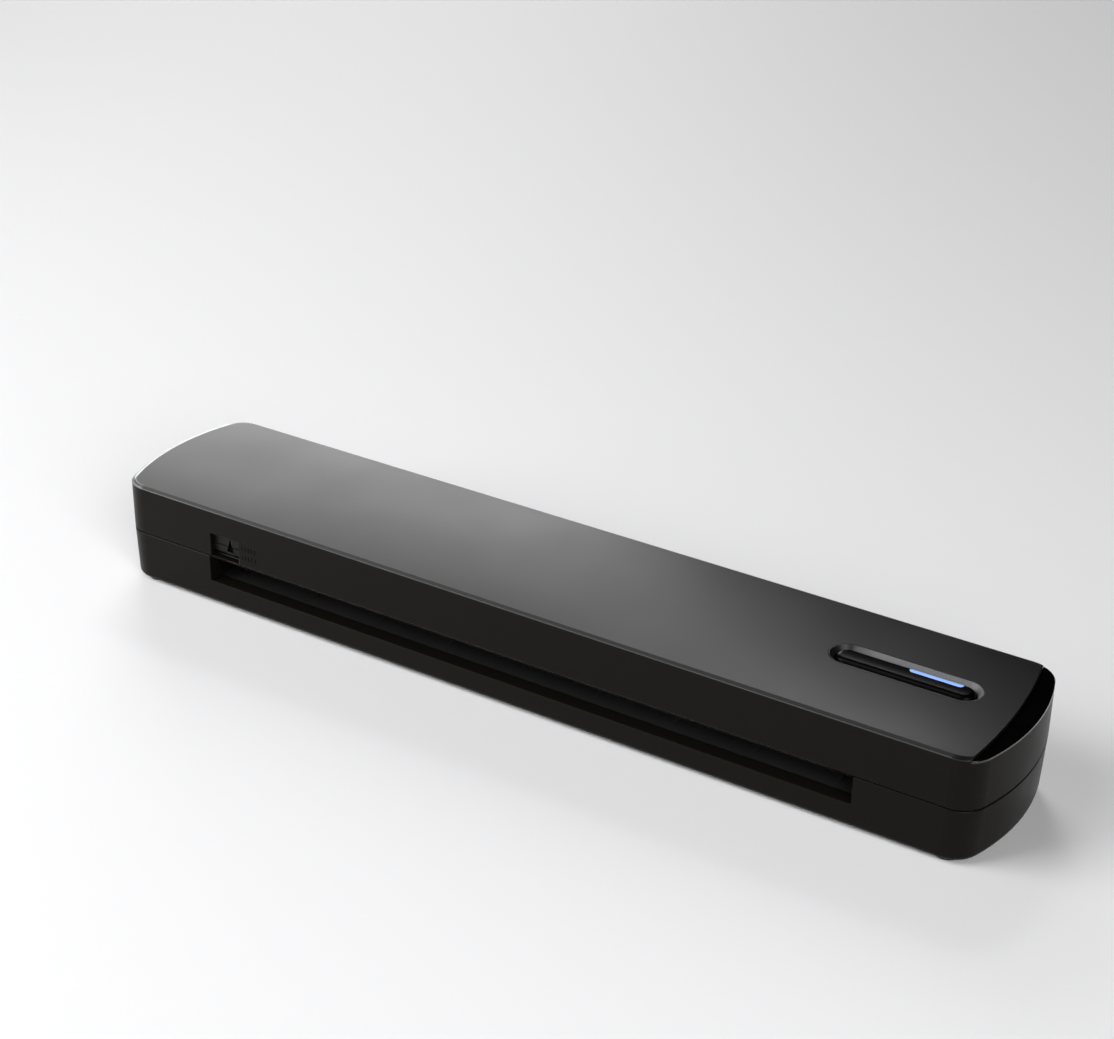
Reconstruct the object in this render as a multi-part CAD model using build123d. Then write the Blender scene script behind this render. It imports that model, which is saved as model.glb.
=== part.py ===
from build123d import *
import os
from math import acos, cos, pi, radians, sin, sqrt, tan

# Portable thermal printer for cut sheets. Millimetres, +Z up, X along the length,
# -Y is the side where the sheet goes in. The origin is the bottom centre, on the
# plane that the rubber feet stand on.

# ---------------------------------------------------------------- overall form
LENGTH = 310.0
DEPTH = 59.0
HEIGHT = 35.3
SEAM_Z = 18.2            # height of the parting line between the two casings
SEAM_GAP = 0.3           # open line between the closed casings
END_BULGE = 6.2          # how far each end bows out at its middle
CORNER_R = 9.0           # upright corners, in plan
REAR_LEAN_UPPER = 1.2    # rear wall draws in from the top to the parting line
REAR_LEAN_LOWER = 3.6    # and further in from the parting line to the bottom
END_LEAN_LOWER = 0.8     # end walls draw in from the parting line to the bottom
BOTTOM_R = 1.6
EDGE_EASE = 0.25         # small slope on the edges along the parting line and the trim
WALL = 1.8
FLOOR = 1.5
DECK = 2.3               # roof of the upper casing, under the top plate
PLATE_T = 0.8            # top plate
RIM_IN = 1.0             # how far the plate's sloped rim draws in over its thickness
END_ROOM = 40.0          # length at each end that the paper slot leaves free
FIT = 0.1                # gap round inlaid pieces
CLEAR = 0.3              # gap between pieces that move apart

# ----------------------------------------------- glossy crescent at the right end
CRESCENT_W = 5.95        # from the end to the furthest point of the plate's right edge
PLATE_EDGE_R = 172.0     # radius of that edge, in plan
PLATE_EDGE_Y = -6.5      # where the edge reaches furthest out
TRIM_T = 0.8

# ------------------------------------------------------------------ rubber feet
FOOT_R = 4.2
FOOT_PROUD = 1.3
FOOT_SUNK = 0.8
FOOT_FROM_END = 12.9
FOOT_FROM_FRONT = 6.1
FOOT_FROM_REAR = 11.5

# ------------------------------------------------------------------- paper path
SILL_Z = 9.1             # floor of the front slot
SILL_DEPTH = 5.0
EXIT_SILL_Z = 11.4       # floor of the rear slot
LIP_DROP = 1.2           # the cover's lip hangs this far below the parting line
LIP_T = 2.5
PARTITION_T = 1.2
GUIDE_T = 1.4
GUIDE_RIB_H = 0.5
GUIDE_RIB_T = 1.2
GUIDE_RIBS = 9

# ------------------------------------------------------- platen and feed gears
PLATEN_FROM_REAR = 23.5  # roller axis to the outside of the rear top edge
ROLLER_R = 5.5
SHAFT_R = 2.5
ROLLER_FLOOR_GAP = 0.7
ROLLER_END_GAP = 6.0     # bare shaft at each end, inside the slot's width
BUSH_R = 3.8
BUSH_FLANGE_R = 5.0
BUSH_FLANGE_T = 1.0
RUNNING = 0.06           # radial clearance of shafts in their bearings
PLATE_STEEL = 1.2
FOOT_SCREW_IN = 3.4      # from the roller's end to the screws of the side plates' feet
FOOT_SCREW_FRONT = 2.0
FOOT_SCREW_REAR = 10.0
GEAR_MODULE = 0.4
PLATEN_TEETH = 28
IDLER_SMALL_TEETH = 14
IDLER_BIG_TEETH = 34
PINION_TEETH = 14
GEAR_W = 3.0
GEAR_GAP = 0.5
IDLER_ANGLE = 160.0      # direction from the platen axis to the idler axis
MOTOR_ANGLE = 184.0      # direction from the idler axis to the motor axis
IDLER_AXLE_R = 1.0
MOTOR_R = 7.5
MOTOR_LEN = 15.5
MOTOR_SHAFT_R = 1.0

# --------------------------------------------------------------------- hinges
HINGE_R = 2.6            # rounding of the cover's lower rear edge, about the axis
HINGE_PIN_R = 1.0
LUG_W = 8.0
KNUCKLE_W = 4.6
LUG_FROM_SLOT = 8.0      # from the slot's end to the near side of the lug

# ----------------------------------------------------------------- print head
HEAD_GAP = 0.1           # sheet thickness left at the nip
HEAD_W = 15.0            # across the paper path
CERAMIC_T = 1.0
HEATSINK_T = 3.4
HEATSINK_RIB_H = 1.4
HEAD_NIP_BACK = 8.2      # from the nip line to the head's rear edge
HEAD_END_GAP = 3.6       # head's end to the slot's end
HEAD_PIN_R = 1.2
SPRING_W = 7.0
SPRING_T = 0.4
SPRING_END_GAP = 4.5     # from a spring's end to the nearest screw post
SPRINGS = 3
FRAME_POST_R = 2.6
FRAME_BOARD_GAP = 3.5    # from the button's board to the nearest screw post
FRAME_STACK_GAP = 0.15   # from the frame's deck to the screws of the button's board
FRAME_T = 1.4
FRAME_SCREW_L = 5.5

# --------------------------------------------------------------- power button
BUTTON_FROM_END = 40.8
BUTTON_Y = 2.9
RECESS_L = 46.9
RECESS_W = 11.4
RECESS_DEPTH = 1.6
PILL_L = 43.2
PILL_W = 7.6
PILL_ROUND = 1.8
PILL_BELOW_TOP = 0.1
BUTTON_TRAVEL = 0.8
LED_L = 16.4
LED_W = 2.2
LED_DX = 8.7
LED_DY = 2.1
LED_DEPTH = 2.0
BOARD_T = 1.2
BOARD_W = 12.0
BOARD_OVERHANG = 7.0
SWITCH_SIDE = 6.0
SWITCH_H = 2.0
PLUNGER_SPARE = 0.25     # what is left of the plunger when the button is fully pressed

# --------------------------------------------------------- paper width slider
WINDOW_L = 11.6
WINDOW_FROM_SLOT = 0.8
WINDOW_H = 8.1
SLIDER_T = 1.2
SLIDER_TRAVEL = 3.0      # each way from the middle
RAIL_HALF = 14.0
POINTER_W = 2.8
POINTER_H = 4.8
POINTER_DEPTH = 0.5
GROOVE_W = 0.35
FIN_T = 1.2
FIN_FROM_FRONT = 9.0
FIN_L = 7.0
FIN_SLOT_H = 8.0         # height over which the cover frame is cut for the fin
ARM_T = 1.2

# ---------------------------------------------------------------- electronics
CELL_L = 70.0
CELL_W = 17.0
CELL_T = 9.0
USB_W = 8.94
USB_H = 3.26
USB_L = 7.3
TONGUE_W = 6.0
TONGUE_T = 0.7
TONGUE_BACK = 1.5        # the tongue ends this far inside the socket's mouth
MAIN_BOARD_L = 29.5
MAIN_BOARD_W = 34.0
BOARD_LIFT = 2.2         # main board above the floor
CHIP_SIDE = 8.0
CHIP_T = 1.2
DRIVER_L = 5.0
DRIVER_W = 6.0
COIL_R = 3.0
COIL_H = 3.2
CAPACITOR_R = 2.5
CAPACITOR_H = 6.0
PLUG_L = 8.0
PLUG_W = 4.5
PLUG_H = 4.0
SENSOR_L = 5.0
SENSOR_W = 3.4
SENSOR_T = 2.4
SCREW_R = 1.25
SCREW_HEAD_R = 2.3
SCREW_HEAD_H = 1.4
SCREW_SEAT = 1.0         # how deep the chassis screws go into the floor

# --------------------------------------------------------------- cover's latch
LATCH_FROM_END = 20.0
LATCH_R = 3.4            # posts that carry the magnets and the plates
MAGNET_R = 2.5
MAGNET_T = 2.0
LATCH_PLATE_T = 1.0

# ------------------------------------------------------------- derived places
HALF_L = LENGTH / 2
FRONT_Y = -DEPTH / 2
REAR_Y = DEPTH / 2
CASE_Z0 = FOOT_PROUD
FLOOR_Z = CASE_Z0 + FLOOR
BASE_TOP = SEAM_Z - SEAM_GAP / 2
COVER_BOTTOM = SEAM_Z + SEAM_GAP / 2
PLATE_Z = HEIGHT - PLATE_T
ROOF_Z = PLATE_Z - DECK
END_R = (REAR_Y ** 2 + END_BULGE ** 2) / (2 * END_BULGE)
SLOT_HALF = HALF_L - END_ROOM
GUIDE_RIB_STEP = 2 * (SLOT_HALF - 8) / (GUIDE_RIBS - 1)
REAR_SEAM_Y = REAR_Y - REAR_LEAN_UPPER
HINGE_Y = REAR_SEAM_Y - HINGE_R
HINGE_Z = COVER_BOTTOM + HINGE_R
PLATEN_Y = REAR_Y - PLATEN_FROM_REAR
PLATEN_Z = FLOOR_Z + ROLLER_FLOOR_GAP + ROLLER_R
NIP_Z = PLATEN_Z + ROLLER_R
SIDE_X = SLOT_HALF + PARTITION_T + 0.2
GEAR_A_X = SIDE_X + PLATE_STEEL + 1.2
GEAR_B_X = GEAR_A_X + GEAR_W + GEAR_GAP
BRACKET_X = GEAR_B_X + GEAR_W + 0.6
MOTOR_X = BRACKET_X + PLATE_STEEL
IDLER_REACH = GEAR_MODULE * (PLATEN_TEETH + IDLER_SMALL_TEETH) / 2
MOTOR_REACH = GEAR_MODULE * (IDLER_BIG_TEETH + PINION_TEETH) / 2
IDLER_Y = PLATEN_Y + IDLER_REACH * cos(radians(IDLER_ANGLE))
IDLER_Z = PLATEN_Z + IDLER_REACH * sin(radians(IDLER_ANGLE))
MOTOR_Y = IDLER_Y + MOTOR_REACH * cos(radians(MOTOR_ANGLE))
MOTOR_Z = IDLER_Z + MOTOR_REACH * sin(radians(MOTOR_ANGLE))
LUG_X = SLOT_HALF + LUG_FROM_SLOT
HEAD_Y1 = PLATEN_Y + HEAD_NIP_BACK
HEAD_Y0 = HEAD_Y1 - HEAD_W
HEAD_HALF = SLOT_HALF - HEAD_END_GAP
HEAD_SPLIT_Y = PLATEN_Y + HEAD_NIP_BACK / 3
CERAMIC_Z = NIP_Z + HEAD_GAP
HEATSINK_Z = CERAMIC_Z + CERAMIC_T
HEATSINK_TOP = HEATSINK_Z + HEATSINK_T
SWITCH_TOP = ROOF_Z - CLEAR - BUTTON_TRAVEL - 1.0
BUTTON_BOARD_Z = SWITCH_TOP - BUTTON_TRAVEL - PLUNGER_SPARE - SWITCH_H - BOARD_T
FRAME_TOP = BUTTON_BOARD_Z - SCREW_HEAD_H - FRAME_STACK_GAP
FRAME_DECK_Z = FRAME_TOP - FRAME_T
FRAME_WALL_Y0 = HEAD_Y0 - 1.2
FRAME_WALL_Y1 = HEAD_Y1 + 1.4
HEAD_PIVOT_Y = HEAD_Y1 - 2.0
HEAD_PIVOT_Z = HEATSINK_Z + HEATSINK_T / 2
BUTTON_X = HALF_L - BUTTON_FROM_END
BOARD_HALF = PILL_L / 2 + BOARD_OVERHANG
POST_REACH = BUTTON_X - BOARD_HALF - FRAME_BOARD_GAP - FRAME_POST_R
FRAME_POST_STEP = 2 * POST_REACH / SPRINGS
SPRING_LEN = FRAME_POST_STEP - 2 * SPRING_END_GAP
WINDOW_X = -SLOT_HALF + WINDOW_FROM_SLOT
WINDOW_MID = WINDOW_X + WINDOW_L / 2 + 0.8
WINDOW_Z = COVER_BOTTOM + 0.2
LATCH_X = HALF_L - LATCH_FROM_END
LATCH_Y = FRONT_Y + WALL + LATCH_R - 0.3


# ------------------------------------------------------------------- helpers
def prism_x(points, x0, x1):
    """Solid with a YZ outline, running along X."""
    return extrude(Plane.YZ.offset(x0) * make_face(Polyline(*points, close=True)), amount=x1 - x0)


def rod_x(radius, x0, x1, y, z):
    """Round bar along X."""
    return Pos((x0 + x1) / 2, y, z) * Rot(0, 90, 0) * Cylinder(radius, x1 - x0)


def block(x0, x1, y0, y1, z0, z1):
    """Box from its limits."""
    return Pos((x0 + x1) / 2, (y0 + y1) / 2, (z0 + z1) / 2) * Box(x1 - x0, y1 - y0, z1 - z0)


def post(radius, x, y, z0, z1):
    """Upright round bar."""
    return Pos(x, y, (z0 + z1) / 2) * Cylinder(radius, z1 - z0)


def both_ends(solid):
    """The solid and its mirror image at the other end of the printer."""
    return solid + mirror(solid, about=Plane.YZ)


def lean(z):
    """How far the rear wall and the end walls have drawn in at height z."""
    if z >= SEAM_Z:
        return REAR_LEAN_UPPER * (HEIGHT - z) / (HEIGHT - SEAM_Z), 0.0
    share = (SEAM_Z - z) / (SEAM_Z - CASE_Z0)
    return REAR_LEAN_UPPER + REAR_LEAN_LOWER * share, END_LEAN_LOWER * share


def plan_face(z, inset=0.0):
    """Plan of the body at height z: straight long sides, bowed ends, round corners."""
    rear_in, end_in = lean(z)
    y0 = FRONT_Y + inset
    y1 = REAR_Y - rear_in - inset
    half = HALF_L - end_in - inset
    end_r = END_R - inset
    x0 = half - end_r + sqrt(end_r ** 2 - y0 ** 2)
    x1 = half - end_r + sqrt(end_r ** 2 - y1 ** 2)
    sides = Line((-x0, y0), (x0, y0)) + ThreePointArc((x0, y0), (half, 0), (x1, y1))
    sides += Line((x1, y1), (-x1, y1)) + ThreePointArc((-x1, y1), (-half, 0), (-x0, y0))
    face = make_face(sides)
    return Pos(0, 0, z) * fillet(face.vertices(), max(CORNER_R - inset, 1.0))


def body_solid(z0, z1, inset=0.0):
    """Stretch of the body between two heights on one side of the parting line."""
    return loft([plan_face(z0, inset), plan_face(z1, inset)], ruled=True)


def eased(z0, z1, inset0, inset1):
    """Thin layer of the body whose outline draws in or out between two heights."""
    return loft([plan_face(z0, inset0), plan_face(z1, inset1)], ruled=True)


# --------------------------------------------------------------- outer casings
def foot_places():
    """Centres of the four feet."""
    x = HALF_L - FOOT_FROM_END
    y0 = FRONT_Y + FOOT_FROM_FRONT
    y1 = REAR_Y - FOOT_FROM_REAR
    return [(sx * x, y) for sx in (-1, 1) for y in (y0, y1)]


def lower_shell():
    """Tray of the lower casing with its rounded bottom edge."""
    shoulder = BASE_TOP - EDGE_EASE
    outer = body_solid(CASE_Z0, shoulder)
    outer = fillet(outer.faces().sort_by(Axis.Z)[0].edges(), BOTTOM_R)
    outer += eased(shoulder, BASE_TOP, 0, EDGE_EASE)
    return outer - body_solid(FLOOR_Z, BASE_TOP, WALL)


def lower_slots():
    """Openings in the front and rear walls that the sheet runs through."""
    front = block(-SLOT_HALF, SLOT_HALF, FRONT_Y - 1, FRONT_Y + SILL_DEPTH + 4, SILL_Z, SEAM_Z)
    rear = block(-SLOT_HALF, SLOT_HALF, PLATEN_Y + ROLLER_R, REAR_Y + 1, EXIT_SILL_Z, SEAM_Z)
    return front + rear


def slot_sill():
    """Ledge behind the front wall that the sheet slides in over."""
    return block(-SLOT_HALF - PARTITION_T, SLOT_HALF + PARTITION_T, FRONT_Y + WALL - 0.2,
                 FRONT_Y + SILL_DEPTH, SILL_Z - GUIDE_T, SILL_Z)


def partitions():
    """Upright walls that close the front slot at its ends."""
    wall = block(SLOT_HALF, SLOT_HALF + PARTITION_T, FRONT_Y + WALL - 0.2,
                 FRAME_WALL_Y0 - 1, FLOOR_Z - 0.2, BASE_TOP)
    return both_ends(wall)


def hinge_lugs():
    """Lugs that rise from the rear wall and carry the hinge pins."""
    foot_z = SEAM_Z - 9
    eye = rod_x(HINGE_R - 0.1, LUG_X, LUG_X + LUG_W, HINGE_Y, HINGE_Z)
    neck = block(LUG_X, LUG_X + LUG_W, HINGE_Y - HINGE_R + 0.1, HINGE_Y + HINGE_R - 0.1,
                 SEAM_Z - 1, HINGE_Z)
    root = block(LUG_X, LUG_X + LUG_W, HINGE_Y - HINGE_R + 0.1, REAR_SEAM_Y, foot_z, SEAM_Z - 1)
    root = root & body_solid(foot_z, SEAM_Z - 1, WALL / 2)
    bore = rod_x(HINGE_PIN_R + RUNNING, LUG_X - 1, LUG_X + LUG_W + 1, HINGE_Y, HINGE_Z)
    return both_ends(eye + neck + root - bore)


def usb_mouth():
    """Opening for the charging socket in the left end wall."""
    hole = extrude(SlotOverall(USB_W + 2 * FIT, USB_H + 2 * FIT), WALL + 4)
    return Pos(-HALF_L - 1, 0, usb_z()) * Rot(0, 90, 0) * Rot(0, 0, 90) * hole


def usb_z():
    """Height of the charging socket's centre."""
    return board_z() + BOARD_T + USB_H / 2


def board_z():
    """Underside of the main board."""
    return FLOOR_Z + BOARD_LIFT


def lower_casing():
    """Lower casing: tray, slot sill, slot ends, hinge lugs, foot recesses, screw bosses."""
    shell = lower_shell() - lower_slots()
    shell = shell + slot_sill() + partitions() + hinge_lugs()
    for x, y in board_posts():
        shell += post(2.2, x, y, FLOOR_Z - 0.2, board_z())
    for x, y in board_posts():
        shell -= post(SCREW_R, x, y, FLOOR_Z + 0.2, board_z() + 1)
    for x, y in foot_places():
        shell -= post(FOOT_R, x, y, CASE_Z0 - 1, CASE_Z0 + FOOT_SUNK)
    for x, y in side_screws():
        shell -= both_ends(post(SCREW_R, x, y, FLOOR_Z - SCREW_SEAT, FLOOR_Z + 1))
    shell += both_ends(post(LATCH_R, LATCH_X, LATCH_Y, FLOOR_Z - 0.2, BASE_TOP))
    shell -= both_ends(post(MAGNET_R, LATCH_X, LATCH_Y, BASE_TOP - LATCH_PLATE_T, BASE_TOP + 1))
    return shell - usb_mouth()


def board_posts():
    """Screw posts of the main board."""
    x1 = -SIDE_X - PLATE_STEEL - 5.0
    x0 = x1 - MAIN_BOARD_L + 6.0
    y = MAIN_BOARD_W / 2 - 3.0
    return [(x0, -y), (x0, y), (x1, -y), (x1, y)]


def cover_block():
    """Solid outer form of the closed cover under the top plate, with an eased lower edge."""
    shoulder = COVER_BOTTOM + EDGE_EASE
    return body_solid(shoulder, PLATE_Z) + eased(COVER_BOTTOM, shoulder, EDGE_EASE, 0)


def left_of_crescent(gap):
    """Space up to the bowed line where the plate ends, moved towards the right end by gap."""
    centre_x = HALF_L - CRESCENT_W + gap - PLATE_EDGE_R
    y = REAR_Y + 1
    front_x, rear_x = (centre_x + sqrt(PLATE_EDGE_R ** 2 - (at - PLATE_EDGE_Y) ** 2) for at in (-y, y))
    edge = ThreePointArc((front_x, -y), (centre_x + PLATE_EDGE_R, PLATE_EDGE_Y), (rear_x, y))
    sides = Polyline((rear_x, y), (-HALF_L - 5, y), (-HALF_L - 5, -y), (front_x, -y))
    return Pos(0, 0, SEAM_Z) * extrude(make_face(edge + sides), HEIGHT)


def crescent_pocket():
    """What the glossy crescent takes out of the casing."""
    z0 = PLATE_Z - TRIM_T
    return block(0, HALF_L + 5, FRONT_Y - 1, REAR_Y + 1, z0, HEIGHT) - left_of_crescent(0)


def top_plate():
    """Plate over the whole top up to the crescent, with a sloped rim and the button's opening."""
    seat = button_prism(RECESS_L + 2 * FIT, RECESS_W + 2 * FIT, PLATE_Z - 1, HEIGHT + 1)
    return (eased(PLATE_Z, HEIGHT, 0, RIM_IN) & left_of_crescent(0)) - seat


def end_trim():
    """Crescent-shaped glossy inlay of the right end, with an eased outer edge."""
    shoulder = PLATE_Z - EDGE_EASE
    whole = body_solid(PLATE_Z - TRIM_T, shoulder) + eased(shoulder, PLATE_Z, 0, EDGE_EASE)
    return whole - left_of_crescent(FIT)


def rear_round_cut():
    """Takes the cover's lower rear edge down to a round about the hinge axis."""
    corner = block(-HALF_L, HALF_L, HINGE_Y, REAR_Y + 2, COVER_BOTTOM - 1, HINGE_Z)
    return corner - rod_x(HINGE_R, -HALF_L - 1, HALF_L + 1, HINGE_Y, HINGE_Z)


def cover_lip():
    """Lead-in lip along the cover's lower front edge, inside the slot."""
    y0 = FRONT_Y
    z0 = SEAM_Z - LIP_DROP
    outline = [(y0, COVER_BOTTOM), (y0 + LIP_DROP, z0), (y0 + LIP_T, z0),
               (y0 + LIP_T, COVER_BOTTOM + 0.6), (y0 + WALL - 0.4, COVER_BOTTOM + 0.6),
               (y0 + WALL - 0.4, COVER_BOTTOM)]
    return prism_x(outline, -SLOT_HALF + CLEAR, SLOT_HALF - CLEAR)


def cover_knuckles():
    """Eyes beside the lugs, hung from the cover's rear wall."""
    solid = None
    for x0 in (LUG_X - CLEAR - KNUCKLE_W, LUG_X + LUG_W + CLEAR):
        eye = rod_x(HINGE_R - 0.1, x0, x0 + KNUCKLE_W, HINGE_Y, HINGE_Z)
        web = block(x0, x0 + KNUCKLE_W, HINGE_Y - 1.2, REAR_SEAM_Y - WALL / 2, HINGE_Z, HINGE_Z + 6)
        one = eye + web
        solid = one if solid is None else solid + one
    return both_ends(solid)


def hinge_notch():
    """Room for the lugs in the cover's rear wall."""
    return both_ends(block(LUG_X - CLEAR, LUG_X + LUG_W + CLEAR, HINGE_Y - HINGE_R - 0.4,
                           REAR_Y + 1, COVER_BOTTOM - 1, HINGE_Z + HINGE_R + 0.8))


def button_prism(length, width, z0, z1):
    """Upright prism with round ends on the button's centre."""
    return Pos(BUTTON_X, BUTTON_Y, z0) * extrude(SlotOverall(length, width), z1 - z0)


def button_seat():
    """Stepped opening in the roof for the bezel and the button."""
    ledge_z = ROOF_Z + 0.8
    wide = button_prism(RECESS_L + 2 * FIT, RECESS_W + 2 * FIT, ledge_z, HEIGHT + 1)
    through = button_prism(PILL_L + 2 * CLEAR, PILL_W + 2 * CLEAR, ROOF_Z - 1, ledge_z)
    return wide + through


def window_cut():
    """Window in the front wall for the paper width slider."""
    return block(WINDOW_X, WINDOW_X + WINDOW_L, FRONT_Y - 1, FRONT_Y + WALL + 1,
                 WINDOW_Z, WINDOW_Z + WINDOW_H)


def slider_rail():
    """Hooked rail over the window that the slider hangs in."""
    x0 = WINDOW_MID - RAIL_HALF
    x1 = WINDOW_MID + RAIL_HALF
    y0 = FRONT_Y + WALL - 0.2
    y1 = FRONT_Y + WALL + FIT + SLIDER_T + FIT
    z0 = WINDOW_Z + WINDOW_H + 1.2 + FIT
    top = block(x0, x1, y0, y1 + 0.8, z0, z0 + 0.9)
    hook = block(x0, x1, y1, y1 + 0.8, z0 - 0.8, z0 + 0.2)
    return top + hook


def upper_casing():
    """Upper casing: shell, lip, window, slider rail, hinge knuckles, latch posts, button seat."""
    shell = cover_block() - crescent_pocket() - body_solid(COVER_BOTTOM, ROOF_Z, WALL)
    shell = shell + cover_lip() - window_cut() + slider_rail()
    shell = shell - rear_round_cut() - hinge_notch() + cover_knuckles()
    for x, y in frame_posts():
        shell += post(FRAME_POST_R, x, y, FRAME_TOP, ROOF_Z + 0.2)
        shell -= post(SCREW_R, x, y, FRAME_TOP - 1, ROOF_Z - 0.8)
    for x in button_posts():
        shell += post(2.0, x, BUTTON_Y, BUTTON_BOARD_Z + BOARD_T, ROOF_Z + 0.2)
        shell -= post(SCREW_R, x, BUTTON_Y, BUTTON_BOARD_Z, ROOF_Z - 0.6)
    shell += both_ends(post(LATCH_R, LATCH_X, LATCH_Y, COVER_BOTTOM, ROOF_Z + 0.2))
    shell -= both_ends(post(MAGNET_R, LATCH_X, LATCH_Y, COVER_BOTTOM - 1, COVER_BOTTOM + MAGNET_T))
    shell -= both_ends(rod_x(HINGE_PIN_R, hinge_pin_x()[0], hinge_pin_x()[1], HINGE_Y, HINGE_Z))
    return shell - button_seat()


def rubber_feet():
    """Four round feet, sunk into the floor, with an eased rim."""
    feet = []
    for x, y in foot_places():
        foot = post(FOOT_R - 0.05, x, y, 0, FOOT_PROUD + FOOT_SUNK)
        feet.append(chamfer(foot.faces().sort_by(Axis.Z)[0].edges(), 0.3))
    return Compound(children=feet)


# ------------------------------------------------------------ paper guides
def guide_ribs(outline):
    """Runners along the paper path."""
    ribs = []
    for i in range(GUIDE_RIBS):
        x = (i - (GUIDE_RIBS - 1) / 2) * GUIDE_RIB_STEP
        ribs.append(prism_x(outline, x - GUIDE_RIB_T / 2, x + GUIDE_RIB_T / 2))
    return ribs


def lower_paper_guide():
    """Sloped plate that lifts the sheet from the sill to the roller, on standing ribs."""
    y0 = FRONT_Y + SILL_DEPTH + 0.2
    y2 = PLATEN_Y - ROLLER_R + 0.4
    y1 = y0 + 10
    z0 = SILL_Z - 0.2
    z1 = SILL_Z + 0.4
    z2 = NIP_Z - 1.5
    half = SLOT_HALF - 0.3
    plate = prism_x([(y0, z0), (y1, z1), (y2, z2), (y2, z2 - GUIDE_T), (y1, z1 - GUIDE_T),
                     (y0, z0 - GUIDE_T)], -half, half)
    top = [(y0 + 1, z0 - 0.5), (y0 + 1, z0), (y1, z1 + GUIDE_RIB_H), (y2, z2 + GUIDE_RIB_H),
           (y2, z2 - 0.5), (y1, z1 - 0.5)]
    for rib in guide_ribs(top):
        plate += rib
    leg = [(y1 - 5, z0 - GUIDE_T + 0.6), (y1 - 5, FLOOR_Z), (y2 - 3, FLOOR_Z),
           (y2 - 3, z2 - GUIDE_T - 0.3), (y1, z1 - GUIDE_T + 0.3)]
    for rib in guide_ribs(leg):
        plate += rib
    return plate - paper_sensor()


def rear_paper_guide():
    """Plate from the roller to the rear slot."""
    y0 = PLATEN_Y + ROLLER_R - 0.4
    y1 = HINGE_Y - 1.2
    z0 = NIP_Z - 1.5
    z1 = EXIT_SILL_Z + 0.6
    half = SLOT_HALF - 0.3
    plate = prism_x([(y0, z0), (y1, z1), (y1, z1 - GUIDE_T), (y0, z0 - GUIDE_T)], -half, half)
    top = [(y0, z0 - 0.5), (y0, z0 + GUIDE_RIB_H), (y1, z1), (y1, z1 - 0.5)]
    for rib in guide_ribs(top):
        plate += rib
    leg = [(y0 + 2, z0 - GUIDE_T - 0.1), (y0 + 2, FLOOR_Z), (y1 - 4, FLOOR_Z), (y1 - 4, z1 - GUIDE_T + 0.2)]
    for rib in guide_ribs(leg):
        plate += rib
    return plate


# ---------------------------------------------------- platen, gears and motor
def involute(angle):
    """Involute function of a pressure angle."""
    return tan(angle) - angle


def gear(teeth, x0, width, y, z, phase, bore):
    """Spur gear on an axis along X, with a tooth at the angle phase (degrees from +Y to +Z)."""
    pressure = radians(20)
    pitch_r = GEAR_MODULE * teeth / 2
    base_r = pitch_r * cos(pressure)
    root_r = pitch_r - 1.25 * GEAR_MODULE
    tip_r = pitch_r + 0.92 * GEAR_MODULE
    backlash = 0.06
    half_pitch = pi / (2 * teeth) - backlash / pitch_r
    flank = []
    for r in (root_r, max(base_r, root_r + 0.02), pitch_r, tip_r):
        at = involute(acos(min(base_r / r, 1.0)))
        half = half_pitch + involute(pressure) - at
        flank.append((r, half if r > root_r else half - 0.03))
    points = []
    for i in range(teeth):
        mid = radians(phase) + 2 * pi * i / teeth
        for r, half in flank:
            points.append((y + r * cos(mid - half), z + r * sin(mid - half)))
        for r, half in reversed(flank):
            points.append((y + r * cos(mid + half), z + r * sin(mid + half)))
    return prism_x(points, x0, x0 + width) - rod_x(bore, x0 - 1, x0 + width + 1, y, z)


def platen_gear():
    """Gear on the platen shaft."""
    return gear(PLATEN_TEETH, GEAR_A_X, GEAR_W, PLATEN_Y, PLATEN_Z, IDLER_ANGLE, SHAFT_R)


def reduction_gear():
    """Stepped gear between the motor pinion and the platen gear."""
    phase_small = IDLER_ANGLE + 180 + 180 / IDLER_SMALL_TEETH
    bore = IDLER_AXLE_R + RUNNING
    small = gear(IDLER_SMALL_TEETH, GEAR_A_X, GEAR_W + GEAR_GAP, IDLER_Y, IDLER_Z, phase_small, bore)
    big = gear(IDLER_BIG_TEETH, GEAR_B_X, GEAR_W - 0.6, IDLER_Y, IDLER_Z, MOTOR_ANGLE, bore)
    return small + big


def motor_pinion():
    """Pinion on the motor shaft."""
    phase = MOTOR_ANGLE + 180 + 180 / PINION_TEETH
    return gear(PINION_TEETH, GEAR_B_X - 0.3, GEAR_W, MOTOR_Y, MOTOR_Z, phase, MOTOR_SHAFT_R)


def platen_shaft():
    """Steel shaft with eased ends, from the left clip groove to the gear."""
    x0 = -SIDE_X - PLATE_STEEL - 2.4
    x1 = GEAR_A_X + GEAR_W
    shaft = rod_x(SHAFT_R, x0, x1, PLATEN_Y, PLATEN_Z)
    shaft = chamfer(shaft.edges(), 0.3)
    x2 = -SIDE_X - PLATE_STEEL - CLEAR
    groove = rod_x(SHAFT_R + 1, x2 - 0.8, x2, PLATEN_Y, PLATEN_Z)
    return shaft - (groove - rod_x(SHAFT_R - 0.5, x2 - 1, x2 + 1, PLATEN_Y, PLATEN_Z))


def shaft_clip():
    """Open retaining ring in the shaft's groove."""
    x2 = -SIDE_X - PLATE_STEEL - CLEAR
    ring = rod_x(SHAFT_R + 1.7, x2 - 0.8, x2, PLATEN_Y, PLATEN_Z)
    ring -= rod_x(SHAFT_R - 0.5, x2 - 1, x2 + 1, PLATEN_Y, PLATEN_Z)
    mouth = block(x2 - 1, x2 + 1, PLATEN_Y - 1.4, PLATEN_Y + 1.4, PLATEN_Z, PLATEN_Z + SHAFT_R + 2)
    return ring - mouth


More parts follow.
